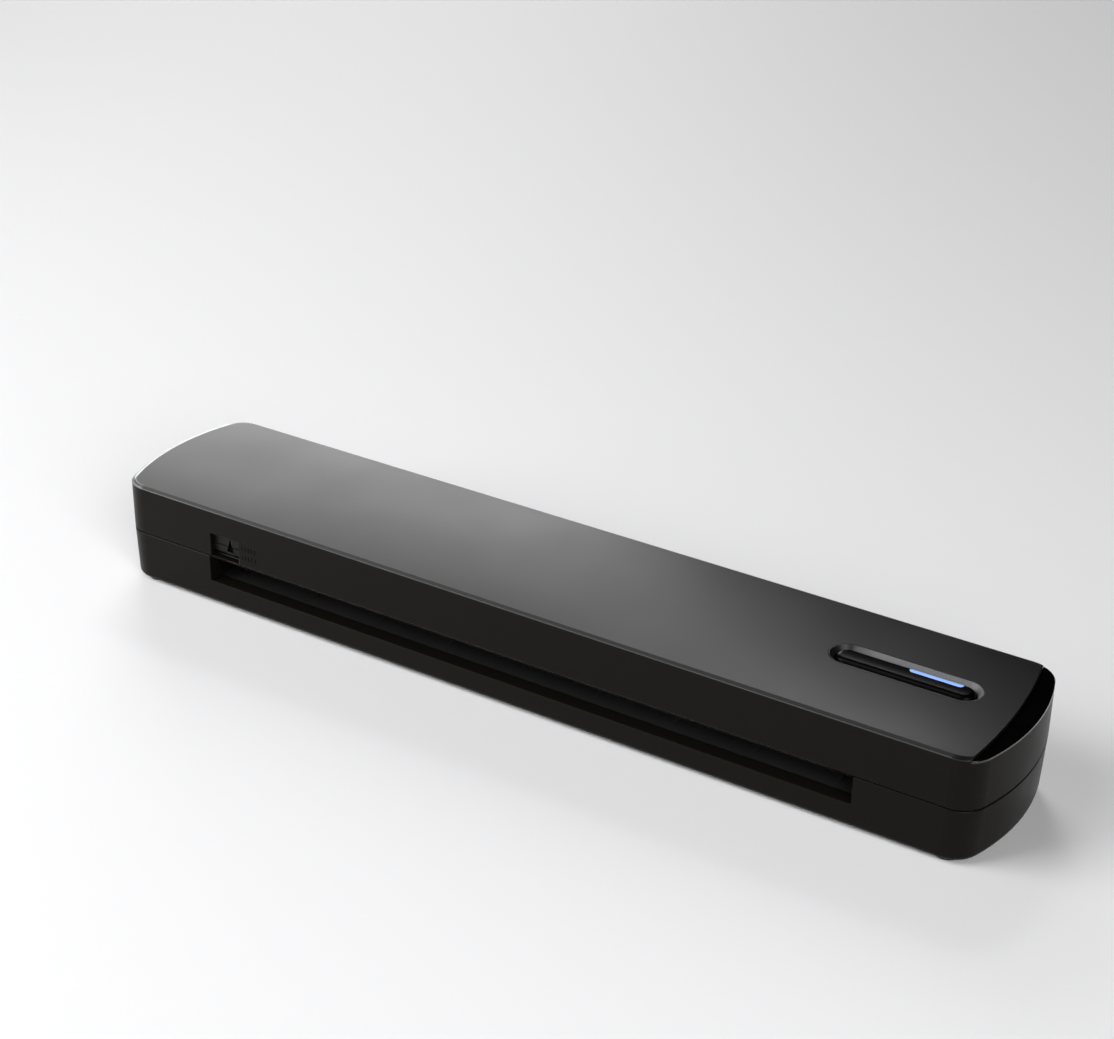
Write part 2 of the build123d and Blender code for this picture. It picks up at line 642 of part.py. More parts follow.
def platen_roller():
    """Rubber sleeve on the shaft."""
    half = SLOT_HALF - ROLLER_END_GAP
    sleeve = rod_x(ROLLER_R, -half, half, PLATEN_Y, PLATEN_Z)
    sleeve = chamfer(sleeve.edges(), 0.4)
    return sleeve - rod_x(SHAFT_R, -half - 1, half + 1, PLATEN_Y, PLATEN_Z)


def platen_bushings():
    """Flanged bearing bushes in the side plates."""
    x0 = SIDE_X - BUSH_FLANGE_T
    bush = rod_x(BUSH_FLANGE_R, x0, SIDE_X, PLATEN_Y, PLATEN_Z)
    bush += rod_x(BUSH_R, x0, SIDE_X + PLATE_STEEL, PLATEN_Y, PLATEN_Z)
    bush -= rod_x(SHAFT_R + RUNNING, x0 - 1, SIDE_X + PLATE_STEEL + 1, PLATEN_Y, PLATEN_Z)
    return Compound(children=[bush, mirror(bush, about=Plane.YZ)])


def side_plate():
    """Right side plate of the chassis: bearing hole, idler axle hole, folded foot."""
    y0 = IDLER_Y - 4.0
    y1 = PLATEN_Y + 13.0
    top = BASE_TOP - 1.0
    outline = [(y0, FLOOR_Z), (y1, FLOOR_Z), (y1, top - 4), (y1 - 4, top), (y0 + 3, top), (y0, top - 3)]
    plate = prism_x(outline, SIDE_X, SIDE_X + PLATE_STEEL)
    foot = block(SLOT_HALF - ROLLER_END_GAP + 0.6, SIDE_X + 0.2, PLATEN_Y - 5, y1, FLOOR_Z, FLOOR_Z + PLATE_STEEL)
    plate += foot
    plate -= rod_x(BUSH_R, SIDE_X - 1, SIDE_X + PLATE_STEEL + 1, PLATEN_Y, PLATEN_Z)
    for x, y in side_screws():
        plate -= post(SCREW_R, x, y, FLOOR_Z - 1, FLOOR_Z + PLATE_STEEL + 1)
    return plate


def side_screws():
    """Screws through the right plate's foot."""
    x = SLOT_HALF - ROLLER_END_GAP + FOOT_SCREW_IN
    return [(x, PLATEN_Y - FOOT_SCREW_FRONT), (x, PLATEN_Y + FOOT_SCREW_REAR)]


def left_side_plate():
    """Side plate at the other end."""
    return mirror(side_plate(), about=Plane.YZ)


def right_side_plate():
    """Side plate that also carries the idler's axle."""
    return side_plate() - rod_x(IDLER_AXLE_R, SIDE_X - 1, SIDE_X + 2, IDLER_Y, IDLER_Z)


def idler_axle():
    """Fixed pin of the reduction gear, held in the side plate and the motor bracket."""
    return rod_x(IDLER_AXLE_R, SIDE_X, MOTOR_X, IDLER_Y, IDLER_Z)


def motor_bracket():
    """Plate that carries the motor, with a folded foot."""
    y0 = MOTOR_Y - 8
    y1 = IDLER_Y + 4
    top = MOTOR_Z + 6
    outline = [(y0, FLOOR_Z), (y1, FLOOR_Z), (y1, top - 3), (y1 - 3, top), (y0 + 4, top), (y0, top - 4)]
    plate = prism_x(outline, BRACKET_X, MOTOR_X)
    plate += block(MOTOR_X - 0.2, MOTOR_X + MOTOR_LEN, y0, y1, FLOOR_Z, FLOOR_Z + 1.0)
    plate -= rod_x(2.6, BRACKET_X - 1, MOTOR_X + 1, MOTOR_Y, MOTOR_Z)
    plate -= rod_x(IDLER_AXLE_R, BRACKET_X - 1, MOTOR_X + 1, IDLER_Y, IDLER_Z)
    return plate


def feed_motor():
    """Stepper motor can with its end boss and wire outlet."""
    can = rod_x(MOTOR_R - 0.3, MOTOR_X, MOTOR_X + MOTOR_LEN, MOTOR_Y, MOTOR_Z)
    can = fillet(can.edges().sort_by(Axis.X)[-1], 1.2)
    can += rod_x(2.5, BRACKET_X, MOTOR_X + 1, MOTOR_Y, MOTOR_Z)
    can += block(MOTOR_X + 4, MOTOR_X + MOTOR_LEN - 3, MOTOR_Y - 4, MOTOR_Y + 4,
                 MOTOR_Z, MOTOR_Z + MOTOR_R + 1.2)
    return can - rod_x(MOTOR_SHAFT_R + RUNNING, BRACKET_X - 1, MOTOR_X + 9, MOTOR_Y, MOTOR_Z)


def motor_shaft():
    """Motor shaft that the pinion is pressed on."""
    return rod_x(MOTOR_SHAFT_R, GEAR_B_X - 0.6, MOTOR_X + 8, MOTOR_Y, MOTOR_Z)


# ------------------------------------------------------------------- hinges
def hinge_pin_x():
    """Ends of the right hinge pin."""
    return LUG_X - CLEAR - KNUCKLE_W, LUG_X + LUG_W + CLEAR + KNUCKLE_W


def hinge_pins():
    """Steel pins through the lugs and knuckles."""
    pin = rod_x(HINGE_PIN_R, hinge_pin_x()[0], hinge_pin_x()[1], HINGE_Y, HINGE_Z)
    return Compound(children=[pin, mirror(pin, about=Plane.YZ)])


# ------------------------------------------------------------ cover's latch
def latch_magnets():
    """Round magnets at the front corners of the cover."""
    magnet = post(MAGNET_R, LATCH_X, LATCH_Y, COVER_BOTTOM, COVER_BOTTOM + MAGNET_T)
    return Compound(children=[magnet, mirror(magnet, about=Plane.YZ)])


def latch_plates():
    """Steel discs under the magnets."""
    disc = post(MAGNET_R, LATCH_X, LATCH_Y, BASE_TOP - LATCH_PLATE_T, BASE_TOP)
    return Compound(children=[disc, mirror(disc, about=Plane.YZ)])


# --------------------------------------------------------------- cover frame
def frame_posts():
    """Screw posts that hold the cover frame."""
    y = (FRAME_WALL_Y0 + FRAME_WALL_Y1) / 2
    return [(FRAME_POST_STEP * (i - SPRINGS / 2), y) for i in range(SPRINGS + 1)]


def frame_outline():
    """Section of the cover frame: paper skins before and behind the head, and its hood."""
    y0 = FRONT_Y + LIP_T + 0.2
    y5 = HINGE_Y - 2.4
    z0 = SEAM_Z - LIP_DROP + 0.2
    z1 = NIP_Z + 1.6
    z4 = NIP_Z + 2.2
    yf = FRAME_WALL_Y0
    yr = FRAME_WALL_Y1
    zd = FRAME_DECK_Z
    t = FRAME_T
    return [(y0, z0), (yf, z1), (yf, zd), (yr, zd), (yr, z4), (y5, z4 + 0.6), (y5, z4 + 0.6 + t),
            (yr + t, z4 + t), (yr + t, zd + t), (yf - t, zd + t), (yf - t, z1 + t + 0.2), (y0, z0 + t)]


def cover_frame():
    """Inner frame of the cover, with pivot ears for the head and a slot for the slider's fin."""
    half = SLOT_HALF - 0.6
    frame = prism_x(frame_outline(), -half, half)
    ear = block(HEAD_HALF + 0.6, half, FRAME_WALL_Y0 - 0.2, FRAME_WALL_Y1 + 0.2, CERAMIC_Z + 1.0,
                FRAME_DECK_Z + 0.2)
    frame += both_ends(ear)
    frame -= both_ends(rod_x(HEAD_PIN_R + RUNNING, HEAD_HALF, half + 1, HEAD_PIVOT_Y, HEAD_PIVOT_Z))
    fin_x = WINDOW_MID - FIN_T / 2
    room = SLIDER_TRAVEL + 2 * CLEAR
    fin_y = FRONT_Y + FIN_FROM_FRONT
    frame -= block(fin_x - room, fin_x + FIN_T + room, fin_y - 2 * CLEAR, fin_y + FIN_L + 2 * CLEAR,
                   SEAM_Z - FIN_SLOT_H / 2, SEAM_Z + FIN_SLOT_H / 2)
    for x, y in frame_posts():
        frame -= post(SCREW_R + 0.2, x, y, FRAME_DECK_Z - 1, FRAME_DECK_Z + FRAME_T + 1)
    return frame


def frame_screws():
    """Pan-head screws under the frame's deck."""
    screws = []
    for x, y in frame_posts():
        head = post(SCREW_HEAD_R, x, y, FRAME_DECK_Z - SCREW_HEAD_H, FRAME_DECK_Z)
        screws.append(head + post(SCREW_R, x, y, FRAME_DECK_Z - 0.2, FRAME_DECK_Z + FRAME_SCREW_L))
    return Compound(children=screws)


# ----------------------------------------------------------------- print head
def head_heatsink():
    """Ribbed aluminium back of the print head."""
    back = block(-HEAD_HALF, HEAD_HALF, HEAD_Y0, HEAD_Y1, HEATSINK_Z, HEATSINK_TOP - HEATSINK_RIB_H)
    beside = SPRING_W / 2 + 0.9
    for y in (HEAD_Y0 + 0.6, PLATEN_Y - beside, PLATEN_Y + beside, HEAD_Y1 - 0.6):
        back += block(-HEAD_HALF, HEAD_HALF, y - 0.6, y + 0.6, HEATSINK_Z + 1, HEATSINK_TOP)
    return back


def head_board():
    """Narrow circuit board behind the ceramic strip."""
    z0 = CERAMIC_Z + 0.2
    return block(-HEAD_HALF + 3, HEAD_HALF - 3, HEAD_SPLIT_Y + FIT, HEAD_Y1 - 0.6, z0, HEATSINK_Z)


def thermal_head():
    """Ceramic strip with its raised heater line over the nip."""
    z0 = CERAMIC_Z + 0.08
    plate = block(-HEAD_HALF + 1, HEAD_HALF - 1, HEAD_Y0 + 0.6, HEAD_SPLIT_Y, z0, HEATSINK_Z)
    glaze = block(-HEAD_HALF + 2, HEAD_HALF - 2, PLATEN_Y - 0.6, PLATEN_Y + 0.6, CERAMIC_Z, CERAMIC_Z + 0.3)
    return plate + glaze


def head_pivot_pins():
    """Pins at the head's ends that turn in the frame's ears."""
    pin = rod_x(HEAD_PIN_R, HEAD_HALF, SLOT_HALF - 0.8, HEAD_PIVOT_Y, HEAD_PIVOT_Z)
    return Compound(children=[pin, mirror(pin, about=Plane.YZ)])


def head_springs():
    """Bowed leaf springs that press the head on the roller."""
    top = FRAME_DECK_Z - 0.1
    low = HEATSINK_TOP - HEATSINK_RIB_H + 0.1
    rise = top - low - SPRING_T
    y0 = PLATEN_Y - SPRING_W / 2
    leaves = []
    for i in range(SPRINGS):
        x = (i - (SPRINGS - 1) / 2) * FRAME_POST_STEP
        lower = ThreePointArc((x - SPRING_LEN / 2, top - SPRING_T), (x, top - SPRING_T - rise),
                              (x + SPRING_LEN / 2, top - SPRING_T))
        upper = ThreePointArc((x + SPRING_LEN / 2, top), (x, top - rise), (x - SPRING_LEN / 2, top))
        sides = Line(lower @ 1, upper @ 0) + Line(upper @ 1, lower @ 0)
        face = make_face(lower + upper + sides)
        leaves.append(extrude(Plane.XZ.offset(-y0 - SPRING_W) * face, amount=SPRING_W))
    return Compound(children=leaves)


# -------------------------------------------------------------- power button
def pill_top():
    """Height of the button's crown."""
    return HEIGHT - PILL_BELOW_TOP


def pill_form():
    """Rounded outer form of the button, without its flange."""
    pill = button_prism(PILL_L, PILL_W, ROOF_Z - 0.4, pill_top())
    return fillet(pill.faces().sort_by(Axis.Z)[-1].edges(), PILL_ROUND)


def led_slot():
    """Prism of the light bar in the button's crown."""
    bar = Pos(BUTTON_X + LED_DX, BUTTON_Y + LED_DY, pill_top() - LED_DEPTH)
    return bar * extrude(SlotOverall(LED_L, LED_W), LED_DEPTH + 1)


def power_button():
    """Long rounded push button with a flange and a stem over the switch."""
    flange_z = ROOF_Z - CLEAR - 0.8
    body = pill_form() - led_slot()
    body += button_prism(PILL_L + 1.8, PILL_W + 1.8, flange_z, ROOF_Z - CLEAR)
    return body + post(1.6, BUTTON_X, BUTTON_Y, SWITCH_TOP + 0.05, flange_z + 0.2)


def led_light_bar():
    """Clear bar that follows the button's rounded shoulder."""
    return pill_form() & led_slot()


def button_bezel():
    """Sloped rim round the button."""
    ledge_z = ROOF_Z + 0.8
    ring = button_prism(RECESS_L, RECESS_W, ledge_z, HEIGHT)
    floor_z = HEIGHT - RECESS_DEPTH
    top = Pos(BUTTON_X, BUTTON_Y, HEIGHT) * SlotOverall(RECESS_L - 0.3, RECESS_W - 0.3)
    low = Pos(BUTTON_X, BUTTON_Y, floor_z) * SlotOverall(PILL_L + 2 * CLEAR, PILL_W + 2 * CLEAR)
    cone = loft([low, top], ruled=True)
    return ring - cone - button_prism(PILL_L + 2 * CLEAR, PILL_W + 2 * CLEAR, ledge_z - 1, floor_z)


def button_posts():
    """Posts that hold the button's board."""
    reach = BOARD_HALF - 3
    return [BUTTON_X - reach, BUTTON_X + reach]


def button_board():
    """Small board under the button."""
    z = BUTTON_BOARD_Z
    y = BUTTON_Y
    board = block(BUTTON_X - BOARD_HALF, BUTTON_X + BOARD_HALF, y - BOARD_W / 2, y + BOARD_W / 2,
                  z, z + BOARD_T)
    for x in button_posts():
        board -= post(SCREW_R, x, BUTTON_Y, z - 1, z + BOARD_T + 1)
    return board


def board_screws():
    """Screws of the button's board."""
    screws = []
    for x in button_posts():
        z = BUTTON_BOARD_Z
        head = post(SCREW_HEAD_R, x, BUTTON_Y, z - SCREW_HEAD_H, z)
        screws.append(head + post(SCREW_R, x, BUTTON_Y, z - 0.2, z + BOARD_T + 3))
    return Compound(children=screws)


def tact_switch():
    """Body of the push switch."""
    z0 = BUTTON_BOARD_Z + BOARD_T
    side = SWITCH_SIDE / 2
    return block(BUTTON_X - side, BUTTON_X + side, BUTTON_Y - side, BUTTON_Y + side, z0, z0 + SWITCH_H)


def switch_plunger():
    """Sprung plunger of the push switch."""
    z0 = BUTTON_BOARD_Z + BOARD_T + SWITCH_H
    return post(1.6, BUTTON_X, BUTTON_Y, z0, SWITCH_TOP)


# -------------------------------------------------------- paper width slider
def slider_mark(z0):
    """Pointer and line that are sunk into the slider's face."""
    half = POINTER_W / 2
    apex = (WINDOW_MID, z0 + POINTER_H)
    outline = Polyline((WINDOW_MID - half, z0), (WINDOW_MID + half, z0), apex, close=True)
    y = FRONT_Y + WALL + FIT
    face = Plane.XZ.offset(-y - POINTER_DEPTH) * make_face(outline)
    pointer = extrude(face, amount=POINTER_DEPTH + 1)
    middle = z0 + POINTER_H * 0.4
    line = block(WINDOW_MID - WINDOW_L / 2, WINDOW_MID + WINDOW_L / 2, y - 1, y + POINTER_DEPTH,
                 middle - GROOVE_W / 2, middle + GROOVE_W / 2)
    return pointer + line


def paper_guide_slider():
    """Slider behind the window: carrier plate with a sunk pointer, arm and hanging fin."""
    y0 = FRONT_Y + WALL + FIT
    y1 = y0 + SLIDER_T
    z0 = WINDOW_Z + 1.4
    z1 = WINDOW_Z + WINDOW_H + 1.2
    half = WINDOW_L / 2 + SLIDER_TRAVEL + 1.4
    plate = block(WINDOW_MID - half, WINDOW_MID + half, y0, y1, z0, z1) - slider_mark(z0 + 0.6)
    arm_z = SEAM_Z + 1.6
    fin_x = WINDOW_MID - FIN_T / 2
    fin_y = FRONT_Y + FIN_FROM_FRONT
    arm = block(fin_x - 1, fin_x + FIN_T + 1, y1 - 0.2, fin_y + FIN_L, arm_z, arm_z + ARM_T)
    neck = block(fin_x - 1, fin_x + FIN_T + 1, y0, y1, arm_z, z0 + 0.2)
    fin = block(fin_x, fin_x + FIN_T, fin_y, fin_y + FIN_L, SILL_Z + 1.5, arm_z + 0.2)
    return plate + arm + neck + fin


# ---------------------------------------------------------------- electronics
def battery_cells():
    """Two flat cells end to end in the front of the cover."""
    y0 = FRONT_Y + WALL + 1.2
    z0 = SEAM_Z - LIP_DROP + 0.2 + FRAME_T + CLEAR
    cells = []
    for side in (-1, 1):
        x = side * (CELL_L / 2 + 0.6)
        cell = block(x - CELL_L / 2, x + CELL_L / 2, y0, y0 + CELL_W, z0, z0 + CELL_T)
        cells.append(fillet(cell.edges().filter_by(Axis.X), 2.0))
    return Compound(children=cells)


def main_board():
    """Main board in the left end of the base."""
    x1 = -SIDE_X - PLATE_STEEL - 2.0
    x0 = x1 - MAIN_BOARD_L
    z = board_z()
    board = block(x0, x1, -MAIN_BOARD_W / 2, MAIN_BOARD_W / 2, z, z + BOARD_T)
    for x, y in board_posts():
        board -= post(SCREW_R, x, y, z - 1, z + BOARD_T + 1)
    return board


def board_components():
    """Processor, motor driver, coil, capacitor and plug on the main board."""
    x1 = -SIDE_X - PLATE_STEEL - 2.0
    x0 = x1 - MAIN_BOARD_L
    middle = (x0 + x1) / 2
    z = board_z() + BOARD_T
    edge = MAIN_BOARD_W / 2 - 1
    chip = block(middle - CHIP_SIDE / 2, middle + CHIP_SIDE / 2, -CHIP_SIDE, 0, z, z + CHIP_T)
    driver = block(x1 - DRIVER_L - 2, x1 - 2, edge - 2 * DRIVER_W, edge - DRIVER_W, z, z + CHIP_T)
    coil = post(COIL_R, middle, COIL_R * 3, z, z + COIL_H)
    capacitor = post(CAPACITOR_R, x1 - CAPACITOR_R - 3, -CAPACITOR_R * 3, z, z + CAPACITOR_H)
    plug = block(middle - PLUG_L / 2, middle + PLUG_L / 2, -edge, PLUG_W - edge, z, z + PLUG_H)
    return Compound(children=[chip, driver, coil, capacitor, plug])


def pan_screw(x, y, z, length):
    """Pan-head screw that points down, with its head resting at height z."""
    return post(SCREW_HEAD_R, x, y, z, z + SCREW_HEAD_H) + post(SCREW_R, x, y, z - length, z + 0.2)


def main_board_screws():
    """Screws of the main board."""
    z = board_z() + BOARD_T
    return Compound(children=[pan_screw(x, y, z, BOARD_T + BOARD_LIFT - 0.4) for x, y in board_posts()])


def chassis_screws():
    """Screws through the feet of both side plates."""
    screws = []
    for x, y in side_screws():
        for side in (-1, 1):
            screws.append(pan_screw(side * x, y, FLOOR_Z + PLATE_STEEL, PLATE_STEEL + SCREW_SEAT))
    return Compound(children=screws)


def paper_sensor():
    """Small optical sensor that is pressed into the lower guide and looks up at the sheet."""
    y1 = PLATEN_Y - ROLLER_R - 2
    x = GUIDE_RIB_STEP / 2
    z1 = NIP_Z - 2.9
    return block(x - SENSOR_L / 2, x + SENSOR_L / 2, y1 - SENSOR_W, y1, z1 - SENSOR_T, z1)


def usb_port():
    """Charging socket: folded metal shell with its inner tongue."""
    x0 = -HALF_L + lean(usb_z())[1] + 0.3
    shell = extrude(SlotOverall(USB_W, USB_H), USB_L)
    shell -= Pos(0, 0, -1) * extrude(SlotOverall(USB_W - 0.6, USB_H - 0.6), USB_L)
    tongue = Pos(0, 0, (USB_L + TONGUE_BACK) / 2) * Box(TONGUE_W, TONGUE_T, USB_L - TONGUE_BACK)
    return Pos(x0, 0, usb_z()) * Rot(0, 90, 0) * Rot(0, 0, 90) * (shell + tongue)


# --------------------------------------------------------------------- export
def main():
    """Builds every piece and writes one file for each."""
    os.makedirs("parts", exist_ok=True)
    pieces = [
        lower_casing, rubber_feet, lower_paper_guide, rear_paper_guide, paper_sensor, right_side_plate,
        left_side_plate, chassis_screws, platen_bushings, platen_shaft, platen_roller, platen_gear, shaft_clip,
        reduction_gear, idler_axle, motor_pinion, motor_shaft, feed_motor, motor_bracket, main_board,
        board_components, main_board_screws, usb_port, latch_plates, upper_casing, top_plate, end_trim,
        hinge_pins, latch_magnets, cover_frame, frame_screws, head_heatsink, thermal_head, head_board,
        head_pivot_pins, head_springs, power_button, led_light_bar, button_bezel, button_board, board_screws,
        tact_switch, switch_plunger, paper_guide_slider, battery_cells,
    ]
    for piece in pieces:
        export_step(piece(), f"parts/{piece.__name__}.step")


main()
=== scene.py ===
"""Looks of a portable thermal printer for cut sheets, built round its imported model.

Metres, +Z up, X along the length, -Y is the side where the sheet goes in. The sizes of the
classes that make meshes, and every name that ends in _mm, are in millimetres.
"""

import logging
import math
from dataclasses import dataclass
from enum import Enum
from typing import ClassVar

import bmesh
import bpy
from mathutils import Matrix, Vector


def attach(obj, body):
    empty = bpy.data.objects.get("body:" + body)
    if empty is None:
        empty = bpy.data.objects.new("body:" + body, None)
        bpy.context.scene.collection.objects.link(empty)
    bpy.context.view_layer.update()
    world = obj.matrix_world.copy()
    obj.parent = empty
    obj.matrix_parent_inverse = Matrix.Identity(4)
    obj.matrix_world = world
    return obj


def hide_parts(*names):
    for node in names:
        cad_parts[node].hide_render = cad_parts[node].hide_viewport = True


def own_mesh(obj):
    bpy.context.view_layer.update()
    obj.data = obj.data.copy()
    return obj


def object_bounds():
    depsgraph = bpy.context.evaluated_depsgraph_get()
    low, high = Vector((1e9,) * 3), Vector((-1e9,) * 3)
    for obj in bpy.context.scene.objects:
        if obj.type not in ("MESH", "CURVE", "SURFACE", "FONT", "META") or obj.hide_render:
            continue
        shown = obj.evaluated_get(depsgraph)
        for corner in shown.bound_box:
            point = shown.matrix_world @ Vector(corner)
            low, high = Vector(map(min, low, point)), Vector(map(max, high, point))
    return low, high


MM = 0.001
IMAGE_W = 1114
SENSOR_MM = 36.0
SMOOTH_UNDER = math.radians(35.0)    # edges of the new pieces under this angle are shaded smooth

Colour = tuple[float, float, float]
Point = tuple[float, float, float]
Pair = tuple[float, float]

log = logging.getLogger("printer")
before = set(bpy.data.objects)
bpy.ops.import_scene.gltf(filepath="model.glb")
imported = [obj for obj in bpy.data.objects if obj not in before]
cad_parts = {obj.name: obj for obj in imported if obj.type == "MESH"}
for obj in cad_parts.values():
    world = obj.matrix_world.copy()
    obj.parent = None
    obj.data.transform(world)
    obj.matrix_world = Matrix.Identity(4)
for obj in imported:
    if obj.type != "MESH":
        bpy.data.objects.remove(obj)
CAD_LOW, CAD_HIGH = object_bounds()


def rgba(colour: Colour, gain: float = 1.0) -> tuple[float, float, float, float]:
    """The colour with full alpha, made brighter by gain."""
    return (colour[0] * gain, colour[1] * gain, colour[2] * gain, 1.0)


# ------------------------------------------------------------------ node trees
class Tree:
    """A short way to fill one node tree."""

    def __init__(self, tree: bpy.types.NodeTree) -> None:
        """Keeps the node tree that the new nodes go into."""
        self.tree = tree

    def add(self, kind: str, **settings: object) -> bpy.types.Node:
        """Adds one node.

        Args:
            kind: the node's type name.
            settings: properties of the node, by name.

        Returns:
            The new node.
        """
        node = self.tree.nodes.new(kind)
        for name, value in settings.items():
            setattr(node, name, value)
        return node

    def wire(self, source: object, target: object) -> None:
        """Joins an output to an input, or writes a plain value into the input.

        Args:
            source: an output socket, or a value for the input.
            target: the input socket.
        """
        if isinstance(source, bpy.types.NodeSocket):
            self.tree.links.new(source, target)
        else:
            target.default_value = source

    def maths(self, operation: str, first: object, second: object = 0.0) -> bpy.types.NodeSocket:
        """Adds a maths node.

        Args:
            operation: the node's operation.
            first: socket or number of the first input.
            second: socket or number of the second input.

        Returns:
            The node's output socket.
        """
        node = self.add("ShaderNodeMath", operation=operation)
        self.wire(first, node.inputs[0])
        self.wire(second, node.inputs[1])
        return node.outputs[0]

    def between(self, value: object, low: object, high: object) -> bpy.types.NodeSocket:
        """Marks where a value lies between two others.

        Args:
            value: socket of the value.
            low: socket or number that the value is above.
            high: socket or number that the value is below.

        Returns:
            The socket of the mask.
        """
        above = self.maths("GREATER_THAN", value, low)
        below = self.maths("LESS_THAN", value, high)
        return self.maths("MULTIPLY", above, below)

    def vector(self, operation: str, first: object, second: object = (0.0, 0.0, 0.0)) -> bpy.types.NodeSocket:
        """Adds a vector maths node.

        Args:
            operation: the node's operation.
            first: socket or vector of the first input.
            second: socket or vector of the second input.

        Returns:
            The node's output socket, which is a number for a dot product.
        """
        node = self.add("ShaderNodeVectorMath", operation=operation)
        self.wire(first, node.inputs[0])
        self.wire(second, node.inputs[1])
        return node.outputs["Value" if operation == "DOT_PRODUCT" else "Vector"]

    def split(self, vector: object) -> bpy.types.bpy_prop_collection:
        """Takes a vector apart.

        Args:
            vector: socket of the vector.

        Returns:
            The sockets X, Y and Z, by name.
        """
        node = self.add("ShaderNodeSeparateXYZ")
        self.wire(vector, node.inputs[0])
        return node.outputs

    def join(self, x: object, y: object, z: object) -> bpy.types.NodeSocket:
        """Puts a vector together.

        Args:
            x: socket or number of the first part.
            y: socket or number of the second part.
            z: socket or number of the third part.

        Returns:
            The socket of the vector.
        """
        node = self.add("ShaderNodeCombineXYZ")
        for number, part in enumerate((x, y, z)):
            self.wire(part, node.inputs[number])
        return node.outputs[0]

    def noise(self, vector: object, scale: object, detail: float = 2.0) -> bpy.types.NodeSocket:
        """Adds a noise texture.

        Args:
            vector: socket of the coordinates.
            scale: cells to a metre, a number or a socket.
            detail: octaves of the noise.

        Returns:
            The socket of its grey value.
        """
        node = self.add("ShaderNodeTexNoise")
        self.wire(vector, node.inputs["Vector"])
        self.wire(scale, node.inputs["Scale"])
        node.inputs["Detail"].default_value = detail
        return node.outputs["Fac"]

    def spread(self, value: object, low: float, high: float, out_low: float, out_high: float) -> object:
        """Maps a range of values to another one.

        Args:
            value: socket of the value.
            low: start of the range that comes in.
            high: end of the range that comes in.
            out_low: what the start becomes.
            out_high: what the end becomes.

        Returns:
            The socket of the mapped value.
        """
        node = self.add("ShaderNodeMapRange")
        for source, name in ((value, "Value"), (low, "From Min"), (high, "From Max"),
                             (out_low, "To Min"), (out_high, "To Max")):
            self.wire(source, node.inputs[name])
        return node.outputs["Result"]

    def blend(self, share: object, first: object, second: object) -> bpy.types.NodeSocket:
        """Mixes two colours.

        Args:
            share: socket of the second colour's share.
            first: colour or socket at share 0.
            second: colour or socket at share 1.

        Returns:
            The socket of the mixed colour.
        """
        node = self.add("ShaderNodeMix", data_type="RGBA")
        self.wire(share, node.inputs["Factor"])
        self.wire(first, node.inputs["A"])
        self.wire(second, node.inputs["B"])
        return node.outputs["Result"]

    def repaint(self, shader: bpy.types.Node, share: object, colour: tuple) -> None:
        """Lays a colour over the one that a shader already has.

        Args:
            shader: the material's Principled BSDF.
            share: socket of the new colour's share.
            colour: the new colour, with its alpha.
        """
        base = shader.inputs["Base Color"]
        self.wire(self.blend(share, base.links[0].from_socket, colour), base)


class Effect(Enum):
    """The shared effects, each one node group."""

    GRAIN = "moulded_grain"
    BRUSHED = "brushed_lines"
    SOFT_EDGE = "soft_edge"
    TICKS = "printed_ticks"


